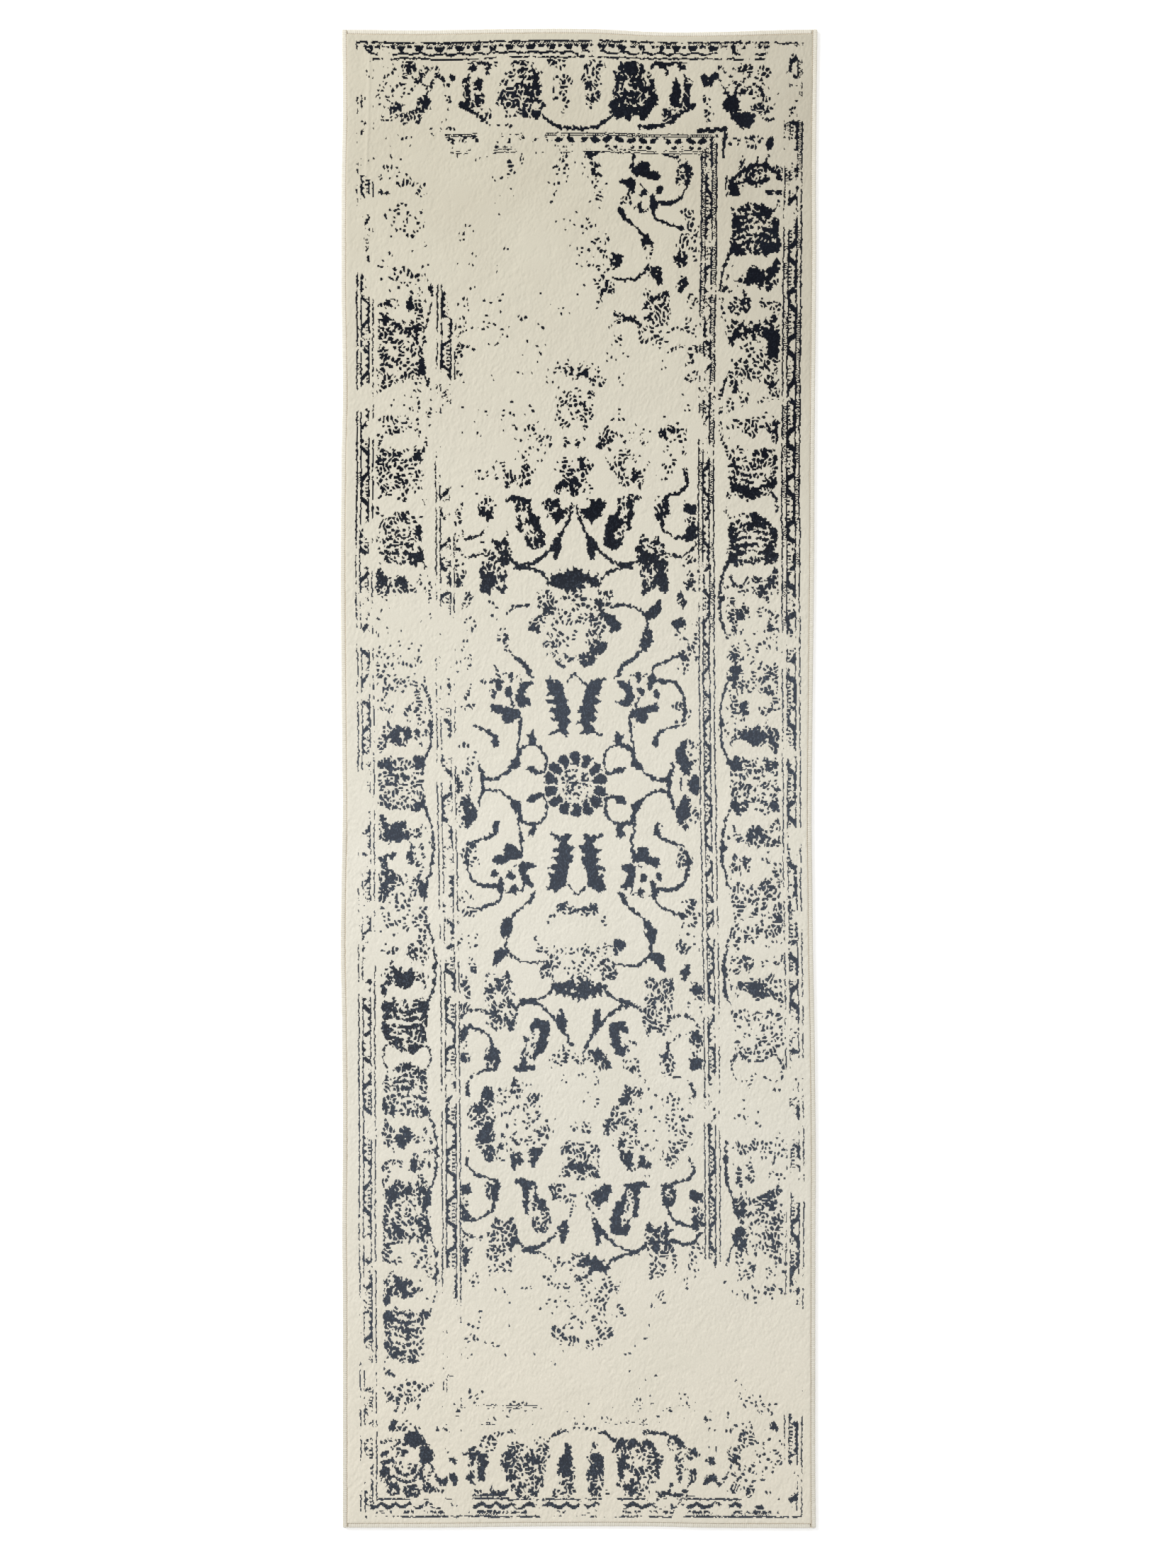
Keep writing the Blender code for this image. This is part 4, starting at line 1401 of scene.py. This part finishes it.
def navy_yarn():
    """Navy yarn: near black towards the head end, darker towards the foot and slate in between, partly uneven
    dye and partly painted sheen; paler tufts' tops are a painted highlight.
    """
    g = Graph("navy_yarn", 0.95, 0.0)
    g.shader.inputs["Specular IOR Level"].default_value = 0.05
    deep, slate = (0.0055, 0.0065, 0.0105, 1), (0.036, 0.044, 0.060, 1)
    # Slate in the middle of the rug and near black towards the ends: partly uneven dye, partly painted sheen
    # where the light falls.
    colour = g.mix(g.span(g.axis(1), 0.35, 0.10), deep, slate)
    colour = g.mix(g.span(g.axis(1), -0.78, -0.95, 0.0, 0.45), colour, deep)
    left_border = g.multiply(g.span(g.axis(0), -0.16, -0.22), g.span(g.axis(1), -0.46, -0.38))
    colour = g.mix(g.multiply(left_border, g.span(g.axis(1), -0.18, -0.28, 0.0, 0.75)), colour, deep)
    colour = g.mix(g.span(g.noise(14.0, 3.0), 0.45, 0.75, 0.0, 0.3), colour, (0.016, 0.020, 0.030, 1))
    faded = g.multiply(g.span(g.attribute("density"), 0.5, 0.1, 0.0, 0.25), g.span(g.axis(1), 0.45, 0.10))
    colour = g.mix(faded, colour, (0.075, 0.083, 0.095, 1))
    # Painted highlight: paler flecks on the navy tufts' tops, weaker towards the head end.
    tip_highlight = g.span(g.noise(480.0, 1.0, (1.0, 0.7, 1.0)), 0.5, 0.72)
    tip_highlight = g.multiply(tip_highlight, g.span(g.axis(1), 0.45, 0.10, 0.05, 0.4))
    colour = g.mix(tip_highlight, colour, (0.12, 0.15, 0.195, 1))
    g.bump(g.noise(900.0, 2.0, (1.0, 0.6, 1.0)), 0.0006, 0.5)
    return g.finish(colour)


def plain_yarn(name, base, dark, scale, roughness=0.9, sheen=0.2):
    """Undyed or beige yarn, with its fibres and unevenness."""
    g = Graph(name, roughness, sheen)
    colour = g.mix(g.span(g.noise(scale, 3.0), 0.3, 0.7, 0.0, 0.8), base, dark)
    colour = g.mix(g.span(g.noise(12.0, 2.0), 0.35, 0.7, 0.0, 0.4), colour, dark)
    g.bump(g.noise(1400.0, 2.0), 0.0004, 0.5)
    return g.finish(colour)


def floor_material():
    material = bpy.data.materials.new("floor_paint")
    material.use_nodes = True
    shader = material.node_tree.nodes["Principled BSDF"]
    shader.inputs["Base Color"].default_value = (0.95, 0.95, 0.95, 1)
    shader.inputs["Roughness"].default_value = 0.95
    shader.inputs["Specular IOR Level"].default_value = 0.0
    shader.inputs["Emission Color"].default_value = (1.0, 1.0, 1.0, 1)
    shader.inputs["Emission Strength"].default_value = 0.3
    return material


# Half the floor's side, and how far it lies below the rug, in metres.
FLOOR_HALF = 30.0
FLOOR_DROP = 0.0003


def add_floor():
    mesh = bpy.data.meshes.new("floor")
    half = FLOOR_HALF
    corners = [(-half, -half, 0), (half, -half, 0), (half, half, 0), (-half, half, 0)]
    mesh.from_pydata(corners, [], [(0, 1, 2, 3)])
    mesh.materials.append(floor_material())
    floor = bpy.data.objects.new("floor", mesh)
    floor.location.z = -FLOOR_DROP
    bpy.context.scene.collection.objects.link(floor)


def add_lamp(name, size, power, location, target=(0, 0, 0)):
    data = bpy.data.lights.new(name, "AREA")
    data.shape = "RECTANGLE"
    data.size, data.size_y = size
    data.energy = power
    lamp = bpy.data.objects.new(name, data)
    lamp.location = location
    lamp.rotation_euler = (Vector(target) - Vector(location)).to_track_quat("-Z", "Y").to_euler()
    bpy.context.scene.collection.objects.link(lamp)


def add_light():
    world = bpy.data.worlds.new("studio")
    world.use_nodes = True
    background = world.node_tree.nodes["Background"]
    background.inputs["Color"].default_value = (1.0, 1.0, 1.0, 1)
    background.inputs["Strength"].default_value = 0.66
    bpy.context.scene.world = world
    add_lamp("key", size=(3.0, 3.0), power=330.0, location=(-3.4, 2.6, 4.6), target=(0, -0.3, 0))


# The camera, in metres: its height and place, and how much of the pile's top fills the picture's height.
CAMERA_HEIGHT = 9.0
CAMERA_X, CAMERA_Y = 0.0116, -0.007
FRAME_HEIGHT = 2.229
PILE_TOP = 0.01
SENSOR_MM = 36.0


def add_camera():
    """Straight above the rug, a little off its middle."""
    data = bpy.data.cameras.new("camera")
    data.sensor_fit = "AUTO"
    data.sensor_width = SENSOR_MM
    data.lens = SENSOR_MM * (CAMERA_HEIGHT - PILE_TOP) / FRAME_HEIGHT
    camera = bpy.data.objects.new("camera", data)
    camera.location = (CAMERA_X, CAMERA_Y, CAMERA_HEIGHT)
    bpy.context.scene.collection.objects.link(camera)
    bpy.context.scene.camera = camera


def build():
    """Every piece of the rug, the ground cloth among them."""
    cream, navy = cream_yarn(), navy_yarn()
    overlock = plain_yarn("overlock_yarn", (0.665, 0.635, 0.555, 1), (0.575, 0.54, 0.455, 1), 300.0)
    cord = plain_yarn("cord_yarn", (0.55, 0.50, 0.40, 1), (0.45, 0.40, 0.31, 1), 400.0)
    thread = plain_yarn("stitch_thread", (0.58, 0.51, 0.40, 1), (0.50, 0.43, 0.33, 1), 700.0)
    jute = plain_yarn("jute_cloth", (0.42, 0.34, 0.23, 1), (0.30, 0.235, 0.15, 1), 260.0)
    latex = plain_yarn("latex_coat", (0.62, 0.58, 0.49, 1), (0.54, 0.50, 0.42, 1), 120.0, 0.6, 0.0)
    carried = add_pile(cream, navy)
    for seed, edge in enumerate(("left", "right", "head", "foot"), start=OVERLOCK_SEED):
        carried.append(add_overlock(edge, overlock, seed))
        carried.append(add_cord(edge, cord))
        carried.append(add_stitches(edge, thread))
    carried.append(add_slab("latex_coat", "latex_backing", 5.0, 0.1, latex))
    cloth = add_slab("woven_ground", "ground_cloth", 4.0, 0.15, jute)


build()
add_floor()
add_light()
add_camera()
bpy.context.scene.view_settings.view_transform = "Standard"
